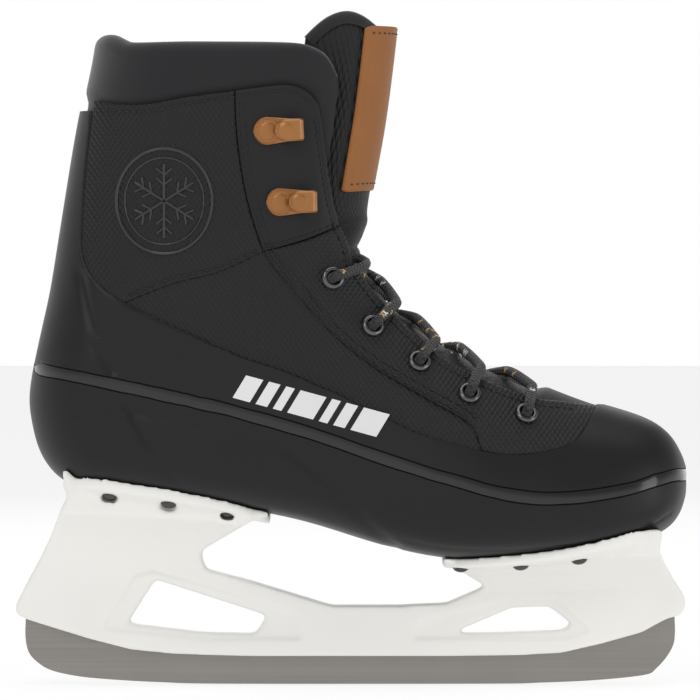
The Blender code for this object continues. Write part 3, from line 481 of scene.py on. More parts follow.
finishes = {  # name, dark and light tone, roughness span, pattern, its size and depth, and what differs
    "shell": ("shellSatin", (0.00528, 0.00528, 0.0055), (0.00968, 0.00968, 0.0101), (0.34, 0.52),
              None, 0, 0, {"grainSize": 2200, "grainDepth": 0.000012}),
    # The band's tones are set lighter than the shell's as a painted reflection of its gloss, over its own black.
    "band": ("bandGloss", (0.009, 0.009, 0.0096), (0.019, 0.019, 0.0202), (0.1, 0.22),
             None, 0, 0, {"coat": 0.35, "grainSize": 1500, "grainDepth": 0.000002}),
    "hatch": ("embossedUpper", (0.00572, 0.0055, 0.00616), (0.015, 0.0145, 0.0163), (0.4, 0.62),
              hatchGroup, 0.0024, 0.0003, {"grainSize": 1800}),
    "plain": ("smoothFacing", (0.00572, 0.0055, 0.00594), (0.0132, 0.0128, 0.0141), (0.42, 0.6),
              grainGroup, 520, 0.0001, {"coordinates": "Object", "grainSize": 2400}),
    "collar": ("collarKnit", (0.00572, 0.00572, 0.00682), (0.0132, 0.0132, 0.0158), (0.66, 0.88),
               weaveGroup, 0.0008, 0.00005, {"coordinates": "UV", "sheen": 0.35}),
    "lining": ("liningCloth", (0.0165, 0.0165, 0.0176), (0.033, 0.033, 0.0352), (0.8, 0.95),
               weaveGroup, 0.0012, 0.00012, {"coordinates": "UV", "sheen": 0.4}),
    "binding": ("bindingTape", (0.0077, 0.0077, 0.0088), (0.0165, 0.0165, 0.01815), (0.5, 0.7),
                weaveGroup, 0.0007, 0.00005, {"coordinates": "UV", "sheen": 0.2}),
    # The thread's tones are raised above its own near-black to give the stitches a painted highlight.
    "thread": ("stitchThread", (0.011, 0.011, 0.0121), (0.0275, 0.0275, 0.03025), (0.45, 0.6),
               None, 0, 0, {"grainSize": 3000}),
    "eyelet": ("eyeletEnamel", (0.07, 0.07, 0.072), (0.13, 0.13, 0.135), (0.14, 0.26),
               None, 0, 0, {"metal": 0.9, "coat": 0.4, "grainDepth": 0.000004}),
    "tanMetal": ("tanPaint", (0.266, 0.101, 0.0237), (0.371, 0.157, 0.0422), (0.25, 0.42),
                 None, 0, 0, {"metal": 0.35, "coat": 0.35, "grainSize": 900, "grainDepth": 0.000012}),
    "tanLeather": ("tanLeather", (0.23, 0.084, 0.0204), (0.323, 0.128, 0.0348), (0.42, 0.62),
                   grainGroup, 650, 0.00012, {"coordinates": "Object"}),
    "print": ("printedWhite", (0.66, 0.66, 0.66), (0.787, 0.787, 0.787), (0.35, 0.5),
              None, 0, 0, {"grainSize": 2200, "grainDepth": 0.00001}),
    "holder": ("holderNylon", (0.799, 0.79, 0.757), (0.869, 0.86, 0.825), (0.28, 0.44),
               None, 0, 0, {"grainSize": 1300, "grainDepth": 0.00001, "wearScale": 14}),
    "emblem": ("emblemRubber", (0.02, 0.02, 0.021), (0.04, 0.04, 0.042), (0.2, 0.34),
               None, 0, 0, {"coat": 0.3, "grainDepth": 0.000005}),
    "rivet": ("rivetDark", (0.05, 0.048, 0.045), (0.12, 0.115, 0.11), (0.3, 0.5),
              None, 0, 0, {"metal": 0.9, "grainDepth": 0.00001}),
    "bolt": ("boltPlated", (0.3, 0.29, 0.28), (0.42, 0.41, 0.4), (0.28, 0.45),
             None, 0, 0, {"metal": 1, "grainDepth": 0.00001}),
    "board": ("boardFibre", (0.2, 0.185, 0.16), (0.3, 0.28, 0.25), (0.75, 0.9),
              None, 0, 0, {})}
looks = {key: skinMaterial(name, (dark, light), *plan, **others)
         for key, (name, dark, light, *plan, others) in finishes.items()}


def makeRunnerSteel():
    # Ground steel: long fine lines along the runner, cloudy tone.
    material, tree, shader, source = newMaterial("groundSteel")
    stretch = tree.nodes.new("ShaderNodeMapping")
    stretch.inputs["Scale"].default_value = (6, 300, 900)
    tree.links.new(source.outputs["Object"], stretch.inputs["Vector"])
    streaks = noiseNode(tree, stretch.outputs["Vector"], 1, 4, 0.65)
    wear = useGroup(tree, wearGroup, source.outputs["Object"], Scale=9)
    tone = calc(tree, "ADD", calc(tree, "MULTIPLY", streaks, 0.7), calc(tree, "MULTIPLY", wear.outputs["Patch"], 0.5))
    tree.links.new(blendTone(tree, tone, (0.17, 0.158, 0.145), (0.33, 0.312, 0.29)), shader.inputs["Base Color"])
    tree.links.new(remap(tree, streaks, 0.3, 0.5), shader.inputs["Roughness"])
    bump = addBump(tree, streaks, 0.00003)
    tree.links.new(bump.outputs["Normal"], shader.inputs["Normal"])
    shader.inputs["Metallic"].default_value = 0.85
    return material


def makeLaceBraid():
    # Round black braid with scattered pale and tan flecks, lighter on the strands' crests and darker in the hollows
    # between them as painted shade; the map runs round and along the lace.
    material, tree, shader, source = newMaterial("laceBraid")
    parts = tree.nodes.new("ShaderNodeSeparateXYZ")
    tree.links.new(source.outputs["UV"], parts.inputs[0])
    turn = calc(tree, "MULTIPLY", parts.outputs[0], 6283.2)  # one turn of the lace is a millimetre on the map
    travel = calc(tree, "MULTIPLY", parts.outputs[1], 3400)
    one = calc(tree, "SINE", calc(tree, "ADD", calc(tree, "MULTIPLY", turn, 4), travel))
    two = calc(tree, "SINE", calc(tree, "SUBTRACT", calc(tree, "MULTIPLY", turn, 4), travel))
    braid = calc(tree, "MAXIMUM", one, two)
    step = calc(tree, "FLOOR", calc(tree, "MULTIPLY", parts.outputs[1], 520))
    sector = calc(tree, "FLOOR", calc(tree, "MULTIPLY", parts.outputs[0], 5000))
    cell = tree.nodes.new("ShaderNodeCombineXYZ")
    tree.links.new(step, cell.inputs[0])
    tree.links.new(sector, cell.inputs[1])
    chance = tree.nodes.new("ShaderNodeTexWhiteNoise")
    tree.links.new(cell.outputs[0], chance.inputs["Vector"])
    fleck = calc(tree, "GREATER_THAN", chance.outputs["Value"], 0.93)
    fleck = calc(tree, "MULTIPLY", fleck, calc(tree, "GREATER_THAN", braid, 0.35))
    palest = calc(tree, "GREATER_THAN", chance.outputs["Value"], 0.965)
    pale = blendTone(tree, palest, (0.62, 0.34, 0.12), (0.8, 0.76, 0.7))
    mix = tree.nodes.new("ShaderNodeMix")
    mix.data_type = "RGBA"
    tree.links.new(fleck, mix.inputs["Factor"])
    # Painted shade: the braid's tone runs from darkest in the hollows to lightest on the crests.
    tree.links.new(blendTone(tree, remap(tree, braid, 0.2, 1), (0.004, 0.004, 0.0045), (0.013, 0.013, 0.014)),
                   mix.inputs["A"])
    tree.links.new(pale, mix.inputs["B"])
    tree.links.new(mix.outputs["Result"], shader.inputs["Base Color"])
    bump = addBump(tree, braid, 0.00035)
    tree.links.new(bump.outputs["Normal"], shader.inputs["Normal"])
    shader.inputs["Roughness"].default_value = 0.58
    shader.inputs["Sheen Weight"].default_value = 0.12
    return material


looks["steel"] = makeRunnerSteel()
looks["lace"] = makeLaceBraid()
print("materials ready")

# Camera, floor and soft studio light.
cameraPlan = {"lens": 300, "distance": 2.596, "aim": (-0.0005, 0, 0.1486), "rise": 1.2}
camera = bpy.data.objects.new("camera", bpy.data.cameras.new("camera"))
bpy.context.scene.collection.objects.link(camera)
camera.data.lens = cameraPlan["lens"]
camera.data.sensor_width = 36.0
camera.data.clip_end = 20.0
rise = math.radians(cameraPlan["rise"])
away = Vector((0, -math.cos(rise), math.sin(rise)))
camera.location = Vector(cameraPlan["aim"]) + away * cameraPlan["distance"]
camera.rotation_euler = (-away).to_track_quat("-Z", "Y").to_euler()
bpy.context.scene.camera = camera

world = bpy.data.worlds.new("studioWorld")
world.use_nodes = True
backdrop = world.node_tree.nodes["Background"]
backdrop.inputs["Color"].default_value = (1, 1, 1, 1)
skyway = world.node_tree.nodes.new("ShaderNodeTexCoord")
height = world.node_tree.nodes.new("ShaderNodeSeparateXYZ")
dimming = world.node_tree.nodes.new("ShaderNodeMapRange")
for label, value in (("From Min", 0.1), ("From Max", 0.45), ("To Min", 1), ("To Max", 0.3)):
    dimming.inputs[label].default_value = value
world.node_tree.links.new(skyway.outputs["Generated"], height.inputs[0])
world.node_tree.links.new(height.outputs[2], dimming.inputs["Value"])
world.node_tree.links.new(dimming.outputs["Result"], backdrop.inputs["Strength"])
bpy.context.scene.world = world
bpy.context.scene.view_settings.view_transform = "Standard"

bm = bmesh.new()
bmesh.ops.create_grid(bm, x_segments=1, y_segments=1, size=6)
bmesh.ops.translate(bm, verts=bm.verts, vec=(0, 0, -0.0004))
floorPaint = bpy.data.materials.new("floorPaint")
floorPaint.use_nodes = True
floorLook = {"Base Color": (0.25, 0.25, 0.25, 1), "Specular IOR Level": 0, "Emission Color": (1, 1, 1, 1),
             "Emission Strength": 0.8, "Roughness": 0.9}
for label, value in floorLook.items():
    floorPaint.node_tree.nodes["Principled BSDF"].inputs[label].default_value = value
floor = finishPiece("studioFloor", bm, floorPaint, False)


def addLight(name, place, aim, size, power):
    light = bpy.data.lights.new(name, "AREA")
    light.shape = "RECTANGLE"
    light.size, light.size_y = size
    light.energy = power
    lamp = bpy.data.objects.new(name, light)
    lamp.location = place
    lamp.rotation_euler = (Vector(aim) - Vector(place)).to_track_quat("-Z", "Y").to_euler()
    bpy.context.scene.collection.objects.link(lamp)


addLight("keyLight", (-0.7, -1.5, 1.3), (0, 0, 0.14), (0.9, 0.9), 9)
addLight("topLight", (0.1, -0.1, 1.5), (0, 0, 0.15), (1.4, 0.9), 7)
addLight("sideLight", (1.6, -0.7, 0.6), (0, 0, 0.15), (0.6, 1.1), 5)
addLight("backLight", (-0.2, 1.4, 0.9), (0, 0, 0.15), (1.6, 0.8), 5)


# Sheets of the upper, laid on the flank between four lines of the side view.
def rimSteps(count, length, rim=(0.3, 0.7, 1.3, 2.1)):
    ends = [r / length for r in rim if r / length < 0.3]
    inner = np.linspace(ends[-1], 1 - ends[-1], count) if ends else np.linspace(0, 1, count)
    return np.array(sorted(set([0, 1.0] + ends[:-1] + [1 - e for e in ends[:-1]] + list(inner))))


def patchMap(bottom, top, left, right, spacing=1.5):
    # Side-view positions between four lines, and each one's distance from the rim.
    width = np.linalg.norm(np.diff(evenLine(top, 60), axis=0), axis=1).sum()
    height = np.linalg.norm(np.diff(evenLine(left, 40), axis=0), axis=1).sum()
    other = np.linalg.norm(np.diff(evenLine(right, 40), axis=0), axis=1).sum()
    s = rimSteps(int(width / spacing), width)
    t = rimSteps(int(max(height, other) / spacing), max(height, other))
    low, high = evenLine(bottom, s), evenLine(top, s)
    near, far = evenLine(left, t), evenLine(right, t)
    a, b = s[:, None, None], t[None, :, None]
    flat = (1 - b) * low[:, None] + b * high[:, None] + (1 - a) * near[None] + a * far[None]
    flat -= (1 - a) * (1 - b) * low[0] + a * (1 - b) * low[-1] + (1 - a) * b * high[0] + a * b * high[-1]
    tall = np.linalg.norm(high - low, axis=1)[:, None]
    wide = np.linalg.norm(far - near, axis=1)[None, :]
    rims = np.stack([s[:, None] * wide, (1 - s[:, None]) * wide, t[None, :] * tall, (1 - t[None, :]) * tall], axis=2)
    return flat, rims


def layFlat(flat, side, depth):
    spots = np.zeros(flat.shape[:2] + (3,))
    outs = np.zeros_like(spots)
    for i in range(flat.shape[0]):
        for j in range(flat.shape[1]):
            spots[i, j], outs[i, j] = sideSpot(flat[i, j, 0], flat[i, j, 1], side, 0)
    return spots + outs * np.asarray(depth)[..., None], outs


def seamDip(flat, rows):
    # Sheets sink a little along their stitch rows.
    dip = np.zeros(flat.shape[:2])
    for line in rows:
        gap = np.min(np.linalg.norm(flat[:, :, None, :] - line[None, None], axis=3), axis=2)
        dip += upperPlan["dipDeep"] * np.exp(-(gap / upperPlan["dipWide"]) ** 2)
    return dip


def inset(line, distance):
    # A side-view line moved to its left.
    table = evenLine(line, 90)
    ahead = unitRows(np.gradient(table, axis=0))
    return table + np.stack([-ahead[:, 1], ahead[:, 0]], axis=1) * distance


upperPlan = {"wall": 2.3, "overlay": -0.45, "quarter": -1.5, "roll": 0.9, "quarterWall": 1.4,
             "dipWide": 1.1, "dipDeep": 0.42, "stitchPitch": 3.1, "stitchLength": 2.3, "stitchThick": 0.85}
lines = {name: np.array(points) for name, points in bootLines.items()}
edgeLine = evenLine(lines["shellEdge"], 400)
frontLine = evenLine(lines["frontEdge"], 400)
hookFront = frontLine[frontLine[:, 1] > 204.4]
eyeFront = frontLine[frontLine[:, 1] < 204.0]
backEdge = edgeLine[(edgeLine[:, 0] < -99)][::-1]
lowEdge = edgeLine[(edgeLine[:, 0] > -100) & (edgeLine[:, 0] < 57)]
noseEdge = edgeLine[edgeLine[:, 0] > 56.5]
cuffLine = evenLine(lines["cuffTop"], 200)
cuffAnkle, cuffHook = cuffLine[cuffLine[:, 0] < -51.4], cuffLine[cuffLine[:, 0] > -50.6]
stitchRows = {
    "cuff": inset(lines["cuffTop"], -2.6)[3:-3], "front": inset(lines["frontEdge"], -2.8)[2:-4],
    "seamOne": inset(np.vstack([lines["eyestaySeam"][::-1], lines["ankleSeam"][1:]]), -1.4)[4:-2],
    "seamTwo": inset(np.vstack([lines["eyestaySeam"][::-1], lines["ankleSeam"][1:]]), -4.2)[5:-2],
    "ankleFoot": inset(lines["ankleFoot"], 1.8)[2:-3], "hookFoot": inset(lines["hookFoot"], 1.8)[3:-2]}
patches = {
    "ankle_panel": (lines["ankleFoot"], cuffAnkle, backEdge, lines["ankleSeam"], "overlay", "hatch", "upper_black"),
    "hook_facing": (lines["hookFoot"], cuffHook, lines["ankleSeam"], hookFront[::-1], "overlay", "plain", "trim_black"),
    "eyestay": (lines["eyestaySeam"], eyeFront, lines["hookFoot"], noseEdge, "overlay", "hatch", "trim_black")}
for side, word in sideWords.items():
    for name, (bottom, top, left, right, level, look, slotName) in patches.items():
        flat, rims = patchMap(bottom, top, left, right)
        distance = rims.min(axis=2)
        roll = upperPlan["roll"]
        drop = roll * (1 - np.sqrt(np.clip(1 - (1 - np.clip(distance / (roll * 1.6), 0, 1)) ** 2, 0, 1)))
        depth = upperPlan[level] - drop - seamDip(flat, stitchRows.values())
        spots, outs = layFlat(flat, side, depth)
        piece = sheetPiece(name + "_" + word + "_sheet", spots, looks[look], outs, flat, wall=upperPlan["wall"])
        standFor(piece, slotName, name + "_" + word)
    seamBelow = np.vstack([lines["ankleFoot"][:-1], lines["eyestaySeam"]])
    flat, rims = patchMap(inset(lowEdge, -4), inset(seamBelow, 5), [lowEdge[0] + (0, -4), (-99, 176)],
                          [lowEdge[-1] + (0, -4), (58, 110)])
    spots, outs = layFlat(flat, side, np.full(flat.shape[:2], upperPlan["quarter"]))
    piece = sheetPiece("quarter_" + word + "_sheet", spots, looks["hatch"], outs, flat, wall=upperPlan["quarterWall"])
    standFor(piece, "upper_black", "quarter_" + word)
print("upper sheets laid")


def addThread(bm, place, length, thick):
    # One short thread, lying along the frame's own X.
    scale = Matrix.Diagonal((length / 2 * mm, thick / 2 * mm, thick / 2 * mm, 1))
    bmesh.ops.create_uvsphere(bm, u_segments=6, v_segments=4, radius=1,
                              matrix=place @ scale @ Matrix.Rotation(math.pi / 2, 4, "Y"))


def layStitches(name, rows, side, depth):
    # Short threads along the seams, half sunk.
    bm = bmesh.new()
    for row in rows:
        length = np.linalg.norm(np.diff(row, axis=0), axis=1).sum()
        count = int(length / upperPlan["stitchPitch"])
        spots = evenLine(row, count * 2 + 1, False)
        for k in range(count):
            start, middle, stop = (sideSpot(*spots[2 * k + m], side, depth) for m in (0, 1, 2))
            addThread(bm, frameAt(middle[0], middle[1], Vector(stop[0] - start[0])), upperPlan["stitchLength"],
                      upperPlan["stitchThick"])
    return finishPiece(name, bm, looks["thread"], True, 0)


for side, word in sideWords.items():
    stitches = layStitches("upper_stitches_" + word, stitchRows.values(), side, upperPlan["overlay"] - 0.12)
    standFor(stitches, "trim_black")
print("stitches laid")

# Moulded shell: laid round the boot from below the upper, with the band's groove and the creases.
shellPlan = {"wall": 1.7, "bandHalf": 3.15, "grooveDeep": 1.1, "lip": 0.8,
             "seatsBelow": 54, "seatsAbove": 38}
creases = {
    "sweep": ([(-95, 122), (-71, 117), (-42, 110), (-29, 105.5), (-17, 97.5), (0, 82), (8.5, 72), (19.5, 63)],
              1.9, 0.9),
    "heelFold": ([(-119, 182), (-115, 165), (-110, 150), (-105, 140)], 1.9, 1.2),
    "heelLow": ([(-99, 126), (-83, 99), (-78, 92)], 1.9, 0.9),
    "heelNotchOne": ([(-122, 121), (-112, 119), (-101, 117)], 0.8, 0.5),
    "heelNotchTwo": ([(-118, 115), (-110, 113.5), (-101, 112)], 0.8, 0.4),
    "soleParting": ([(23, 66), (44, 62.5), (75, 62), (107, 65), (129, 70.5), (141, 77)], 0.7, 0.45)}
creaseLines = [(evenLine(points, 90), width, deep) for points, width, deep in creases.values()]
bandLine = evenLine(lines["band"], 500)


def levelAt(line, x):
    order = np.argsort(line[:, 0], kind="stable")
    return np.interp(x, line[order, 0], line[order, 1])


def overEdge(x, z):
    # How far a side-view place lies above the shell's edge, negative below it.
    gap = np.hypot(edgeLine[:, 0] - x, edgeLine[:, 1] - z)
    k = int(np.argmin(gap))
    a, b = edgeLine[max(k - 1, 0)], edgeLine[min(k + 1, len(edgeLine) - 1)]
    turn = (b[0] - a[0]) * (z - a[1]) - (b[1] - a[1]) * (x - a[0])
    return math.copysign(gap[k], turn) if x > -124 else -gap[k]


shellRows = []
heelEnd = int(np.argmin(np.abs(bootHalf[:, 0, 2] - 256) + (bootHalf[:, 0, 0] > -80) * 500))
for i in range(0, heelEnd, 2):
    ring = bootHalf[i][:, [0, 2]]
    marks = []
    lift = ring[:, 1] - levelAt(bandLine, ring[:, 0])
    for grow in (-1, 1):
        over = np.nonzero(lift > grow * shellPlan["bandHalf"])[0]
        marks.append(over[0] if len(over) else ringCount - 1)
    gaps = np.array([overEdge(*p) for p in ring])
    over = np.nonzero(gaps > 0)[0]
    top = over[0] if len(over) else ringCount - 1
    if ring[0, 1] > 150:
        marks = [1, 2]
    marks[1] = max(min(marks[1], top - 2), 2)
    marks[0] = max(min(marks[0], marks[1] - 1), 1)
    shellRows.append((i, marks[0], marks[1], top))
marksTable = np.array([row[1:] for row in shellRows], dtype=float)
for turn in range(3):
    marksTable[1:-1] = (marksTable[:-2] + 2 * marksTable[1:-1] + marksTable[2:]) / 4


def ringSpots(i, seats, side):
    # Places on one ring at fractional positions.
    seats = np.clip(seats, 0, ringCount - 1)
    k = np.minimum(seats.astype(int), ringCount - 2)
    f = (seats - k)[:, None]
    spots, outs = sides[side][0][i], sides[side][1][i]
    out = outs[k] * (1 - f) + outs[k + 1] * f
    return spots[k] * (1 - f) + spots[k + 1] * f, unitRows(out)


def shellGrid(side):
    spots, outs, bandGrid, bandOuts = [], [], [], []
    first = shellPlan["seatsBelow"]
    for (i, *_), (low, high, top) in zip(shellRows, marksTable):
        below = np.linspace(0, low, first)
        between = low + (high - low) * np.array([0.02, 0.1, 0.35, 0.65, 0.9, 0.98])
        above = high + (top - high) * np.concatenate([np.linspace(0, 0.97, shellPlan["seatsAbove"]), [0.985, 1.0]])
        seats = np.concatenate([below, between, above])
        place, out = ringSpots(i, seats, side)
        depth = np.zeros(len(seats))
        fade = min(max((144.0 - bootHalf[i, 0, 2]) / 4, 0), 1)  # the groove closes where the rows climb the heel
        depth[first + 1:first + 5] = -shellPlan["grooveDeep"] * fade
        depth[[first, first + 5]] = -0.15 * fade
        for k, p in enumerate(place):
            if first < k < first + 5:
                continue
            for line, width, deep in creaseLines:
                gap = np.min(np.hypot(line[:, 0] - p[0], line[:, 1] - p[2]))
                if gap < 3 * width:
                    depth[k] -= deep * math.exp(-(gap / width) ** 2)
        if top < ringCount - 2:
            depth[-1] -= shellPlan["lip"]
            depth[-2] -= shellPlan["lip"] * 0.35
        spots.append(place + out * depth[:, None])
        outs.append(out)
        inner = low + (high - low) * np.array([0.06, 0.12, 0.3, 0.5, 0.7, 0.88, 0.94])
        place, out = ringSpots(i, inner, side)
        crown = np.array([-0.85, -0.25, -0.08, 0, -0.08, -0.25, -0.85]) + 0.05
        bandGrid.append(place + out * crown[:, None])
        bandOuts.append(out)
    return np.array(spots), np.array(outs), np.array(bandGrid), np.array(bandOuts)


grids = [shellGrid(side) for side in (-1, 1)]
shellSkin = joinPieces("boot_shell_skin", [sheetPiece("shellHalf", spots, looks["shell"], outs)
                                           for spots, outs, *_ in grids])
bm = bmesh.new()
bm.from_mesh(shellSkin.data)
bmesh.ops.remove_doubles(bm, verts=[v for v in bm.verts if v.is_boundary], dist=0.0004)
bmesh.ops.holes_fill(bm, edges=[e for e in bm.edges if e.is_boundary and e.verts[0].co.x > 0.147], sides=0)
bmesh.ops.recalc_face_normals(bm, faces=bm.faces)
bm.to_mesh(shellSkin.data)
bm.free()
step = shellSkin.modifiers.new("wall", "SOLIDIFY")
step.thickness = shellPlan["wall"] * mm
step.offset = -1
bake(shellSkin, 34)
standFor(shellSkin, "shell_black", "boot_shell")
strip = []
for (*_, grid, out), order in zip(grids, (1, -1)):
    keep = [k for k, (i, *_) in enumerate(shellRows) if bootHalf[i, 0, 2] < 142.0]
    strip.append((grid[keep][::order], out[keep][::order]))
bandPiece = joinPieces("gloss_band_strip", [sheetPiece("bandHalf", grid, looks["band"], out) for grid, out in strip])
standFor(bandPiece, "gloss_black", "gloss_band")
print("shell ready", len(shellSkin.data.polygons))

# Throat tab: closes the front of the lacing between the two facings and runs under the toe.
tabPlan = {"depth": -1.5, "wall": 1.6}
tabGrid, tabOuts = [], []
for i in range(rowCount):
    crest = bootHalf[i, -1]
    if not 79.0 < crest[0] < 113.0 or stationStep[i] > 8:
        continue
    ring = bootHalf[i][:, [0, 2]]
    seat = np.nonzero(ring[:, 1] > levelAt(evenLine(lines["frontEdge"], 300)[::-1], ring[:, 0]) - 3)[0][0]
    row, outRow = [], []
    for side in (-1, 1):
        place, out = ringSpots(i, np.linspace(seat, ringCount - 1, 16), side)
        row.append(place if side < 0 else place[::-1][1:])
        outRow.append(out if side < 0 else out[::-1][1:])
    roll = 5.5 * (1 - float(easeStep((crest[0] - 79) / 10)))
    tabOuts.append(np.concatenate(outRow))
    tabGrid.append(np.concatenate(row) + tabOuts[-1] * (tabPlan["depth"] - roll))
tabGrid, tabOuts = np.array(tabGrid), np.array(tabOuts)
tab = sheetPiece("throat_tab", tabGrid, looks["plain"], tabOuts, tabGrid[..., [0, 1]], wall=tabPlan["wall"])
standFor(tab, "trim_black")

# Eyelets: rolled rims standing on the facing.
eyeletPlaces = {}
eyeletProfile = [(2.9, -3.2), (2.9, 0.9), (3.15, 1.35), (3.6, 1.55), (4.2, 1.45), (4.75, 1.1), (5.1, 0.55), (5.15, 0.1),
                 (4.9, -0.1), (3.5, 0.1), (3.5, -3.2)]
for side, word in sideWords.items():
    for number, (x, z) in enumerate(eyeletSpots, 1):
        around = [sideSpot(x + 4.2 * math.cos(t), z + 4.2 * math.sin(t), side)
                  for t in np.linspace(0, 2 * math.pi, 9)[:-1]]
        out = sum((Vector(o) for _, o in around), Vector()).normalized()
        spot = Vector(sideSpot(x, z, side)[0])
        eyeletPlaces[(number, side)] = (spot, out)
        ring = spinPiece("eyelet_%s_%d_ring" % (word, number), eyeletProfile, 32, frameAt(spot + out * -0.1, out),
                         looks["eyelet"])
        standFor(ring, "eyelet_black", "eyelet_%s_%d" % (word, number))
print("eyelets ready")

# Lace: a fixed length of round braid through five rows, both ends tucked inside.
lacePlan = {"radius": 2.3, "under": -6.2, "over": 2.5, "loopTop": 3.7, "crossings": {-1: -1.9, 1: -6.4}}


def edgeSpot(row, side, depth, back=1.2):
    aim = np.array(eyeletSpots[row - 1])
    near = frontLine[np.argmin(np.linalg.norm(frontLine - aim, axis=1))]
    inward = (aim - near) / np.linalg.norm(aim - near) * back
    return Vector(sideSpot(near[0] + inward[0], near[1] + inward[1], side, depth)[0])


def eyeletSpot(row, side, depth):
    spot, out = eyeletPlaces[(row, side)]
    return spot + out * depth


def strand(row, side, depth):
    # Out of one eyelet, over the edge and under the opposite edge to the next row.
    under, over = lacePlan["under"], lacePlan["over"]
    start, after = edgeSpot(row, side, over), edgeSpot(row, side, over - 0.8, -2.5)
    before, end = edgeSpot(row - 1, -side, under + 0.1, -2.2), edgeSpot(row - 1, -side, under)
    middle = (start + end) / 2
    centre = Vector(topSpot(middle.x, middle.z, 0, depth))
    return [eyeletSpot(row, side, under), eyeletSpot(row, side, lacePlan["loopTop"]), start, after, centre, before, end]


def tailSpots(side):
    over = lacePlan["over"]
    sheet = [(3, 185.2, over), (6, 187.4, 0.6), (5, 190.6, -3.6), (2, 191.4, -6.5), (-4.5, 191, -6.6),
             (-12, 187, -6.6), (-20, 179, -7.6), (-25, 166, -7.8), (-23, 152, -7.8),
             (-12, 135, -7.8), (3, 118, -7.8), (20, 103, -7.8), (42, 92, -7.8), (66, 87, -7.8),
             (90, 86, -7.8), (106, 86, -7.8)]
    run = [(118, 21, 84), (116, 11, 80), (104, 8, 76), (80, 7.5, 72.5), (50, 7.5, 71.5),
           (24, 8, 77)]
    spots = [eyeletSpot(1, side, lacePlan["under"]), eyeletSpot(1, side, lacePlan["loopTop"])]
    spots += [Vector(sideSpot(x, z, side, depth)[0]) for x, z, depth in sheet]
    return spots + [Vector((x, side * y + float(toeLean(x)), z)) for x, y, z in run]


halvesOfLace = []
for first in (-1, 1):
    spots, side = [], first
    for row in (5, 4, 3, 2):
        spots += strand(row, side, lacePlan["crossings"][side])
        side = -side
    halvesOfLace.append(spots + tailSpots(side))
bar = [Vector(topSpot(79, 128, y, lacePlan["under"])) for y in (-22, -12, 0, 12, 22)]
laceSpots = np.array([tuple(p) for p in list(reversed(halvesOfLace[0])) + bar + halvesOfLace[1]])
steps = np.linspace(0, len(laceSpots) - 1, 7 * (len(laceSpots) - 1) + 1)
laceRun = np.array([0.5 * curveAt(laceSpots, u) + 0.5 * np.array([np.interp(u, range(len(laceSpots)), laceSpots[:, k])
                                                              for k in range(3)]) for u in steps])
laceLength = float(np.linalg.norm(np.diff(laceRun, axis=0), axis=1).sum())
laceRun = evenLine(laceRun, int(laceLength / 2.1), False)


def tubeGrid(run, radius, around):
    # Rings carried along a line without twist, with a map of round and along.
    ahead = unitRows(np.gradient(run, axis=0))
    side = np.cross(ahead[0], (0.3, 0.2, 0.9))
    grid, uvs, travel = [], [], 0.0
    for i, spot in enumerate(run):
        side = side - ahead[i] * side.dot(ahead[i])
        side /= np.linalg.norm(side)
        up = np.cross(ahead[i], side)
        turn = np.linspace(0, 2 * math.pi, around + 1)
        size = radius[i] if hasattr(radius, "__len__") else radius
        grid.append(spot + size * (np.cos(turn)[:, None] * side + np.sin(turn)[:, None] * up))
        travel += np.linalg.norm(spot - run[i - 1]) if i else 0.0
        uvs.append(np.stack([np.linspace(0, 1, around + 1), np.full(around + 1, travel)], axis=1))
    return np.array(grid), np.array(uvs)


grid, uvs = tubeGrid(laceRun, lacePlan["radius"], 12)
lace = sheetPiece("lace_braid", grid, looks["lace"], None, uvs, weld=0.01, fillEnds=True)
aglets = []
for end, inner in ((laceRun[0], laceRun[1]), (laceRun[-1], laceRun[-2])):
    way = Vector(end - inner).normalized()
    place = Matrix.Translation((Vector(end) + way * 0.3) * mm) @ way.to_track_quat("Z", "Y").to_matrix().to_4x4()
    aglets.append(spinPiece("aglet", [(0, 0), (1.7, 0), (1.95, 0.4), (1.95, 19.4), (1.6, 20), (0, 20)], 16, place,
                            looks["eyelet"]))
aglets = joinPieces("lace_aglets", aglets)
standFor(lace, "lace_black", "lace")
standFor(aglets, "aglet_black", "aglet_left", "aglet_right")
print("lace ready, length in metres", round(laceLength * mm, 3))

# Tongue: one padded sheet from the forefoot to its high rim, bound along the rim.
tonguePlan = {"start": 4.4, "half": 52, "thick": 6, "pocket": 5.4, "wide": 22.5,
              "length": 190, "rimRoll": 2.8, "puff": 0.8,
              "rim": [(26, 280), (22.5, 284), (19, 286.5), (13.5, 291.5), (7, 296.5), (1, 298.8),
                      (-4.5, 298.8), (-11, 296), (-18, 290), (-26, 281)]}


def tongueLine(u):
    # Profile across the tongue at one station, as points from its middle and their outward directions.
    row = curveAt(bootRows, u)
    f = float(easeStep((u - 12) / 4.2))
    ahead = curveAt(bootRows, min(u + 0.05, 20))[2:4] - curveAt(bootRows, u - 0.05)[2:4]
    ahead /= np.linalg.norm(ahead)
    way = row[0:2] - row[2:4]
    way /= np.linalg.norm(way)
    out = np.array([ahead[1], -ahead[0]])
    slope = max(abs(out @ way), 0.35)
    deep = (tonguePlan["pocket"] * (1 - f) + 1.6 * f) / slope
    wide = (row[4] - tonguePlan["pocket"]) * (1 - f) + tonguePlan["wide"] * f
    bend = (row[7] - tonguePlan["pocket"]) * (1 - f) + 20.0 * f
    half = 30.0 * (1 - f) + tonguePlan["half"] * f
    turn = np.linspace(0, math.pi / 2, 120)
    line = np.stack([np.append(bend * (1 - np.cos(turn)), bend + 60), np.append(wide * np.sin(turn), wide)], axis=1)
    run = travelled(line)
    return row, way, deep, line, run, half


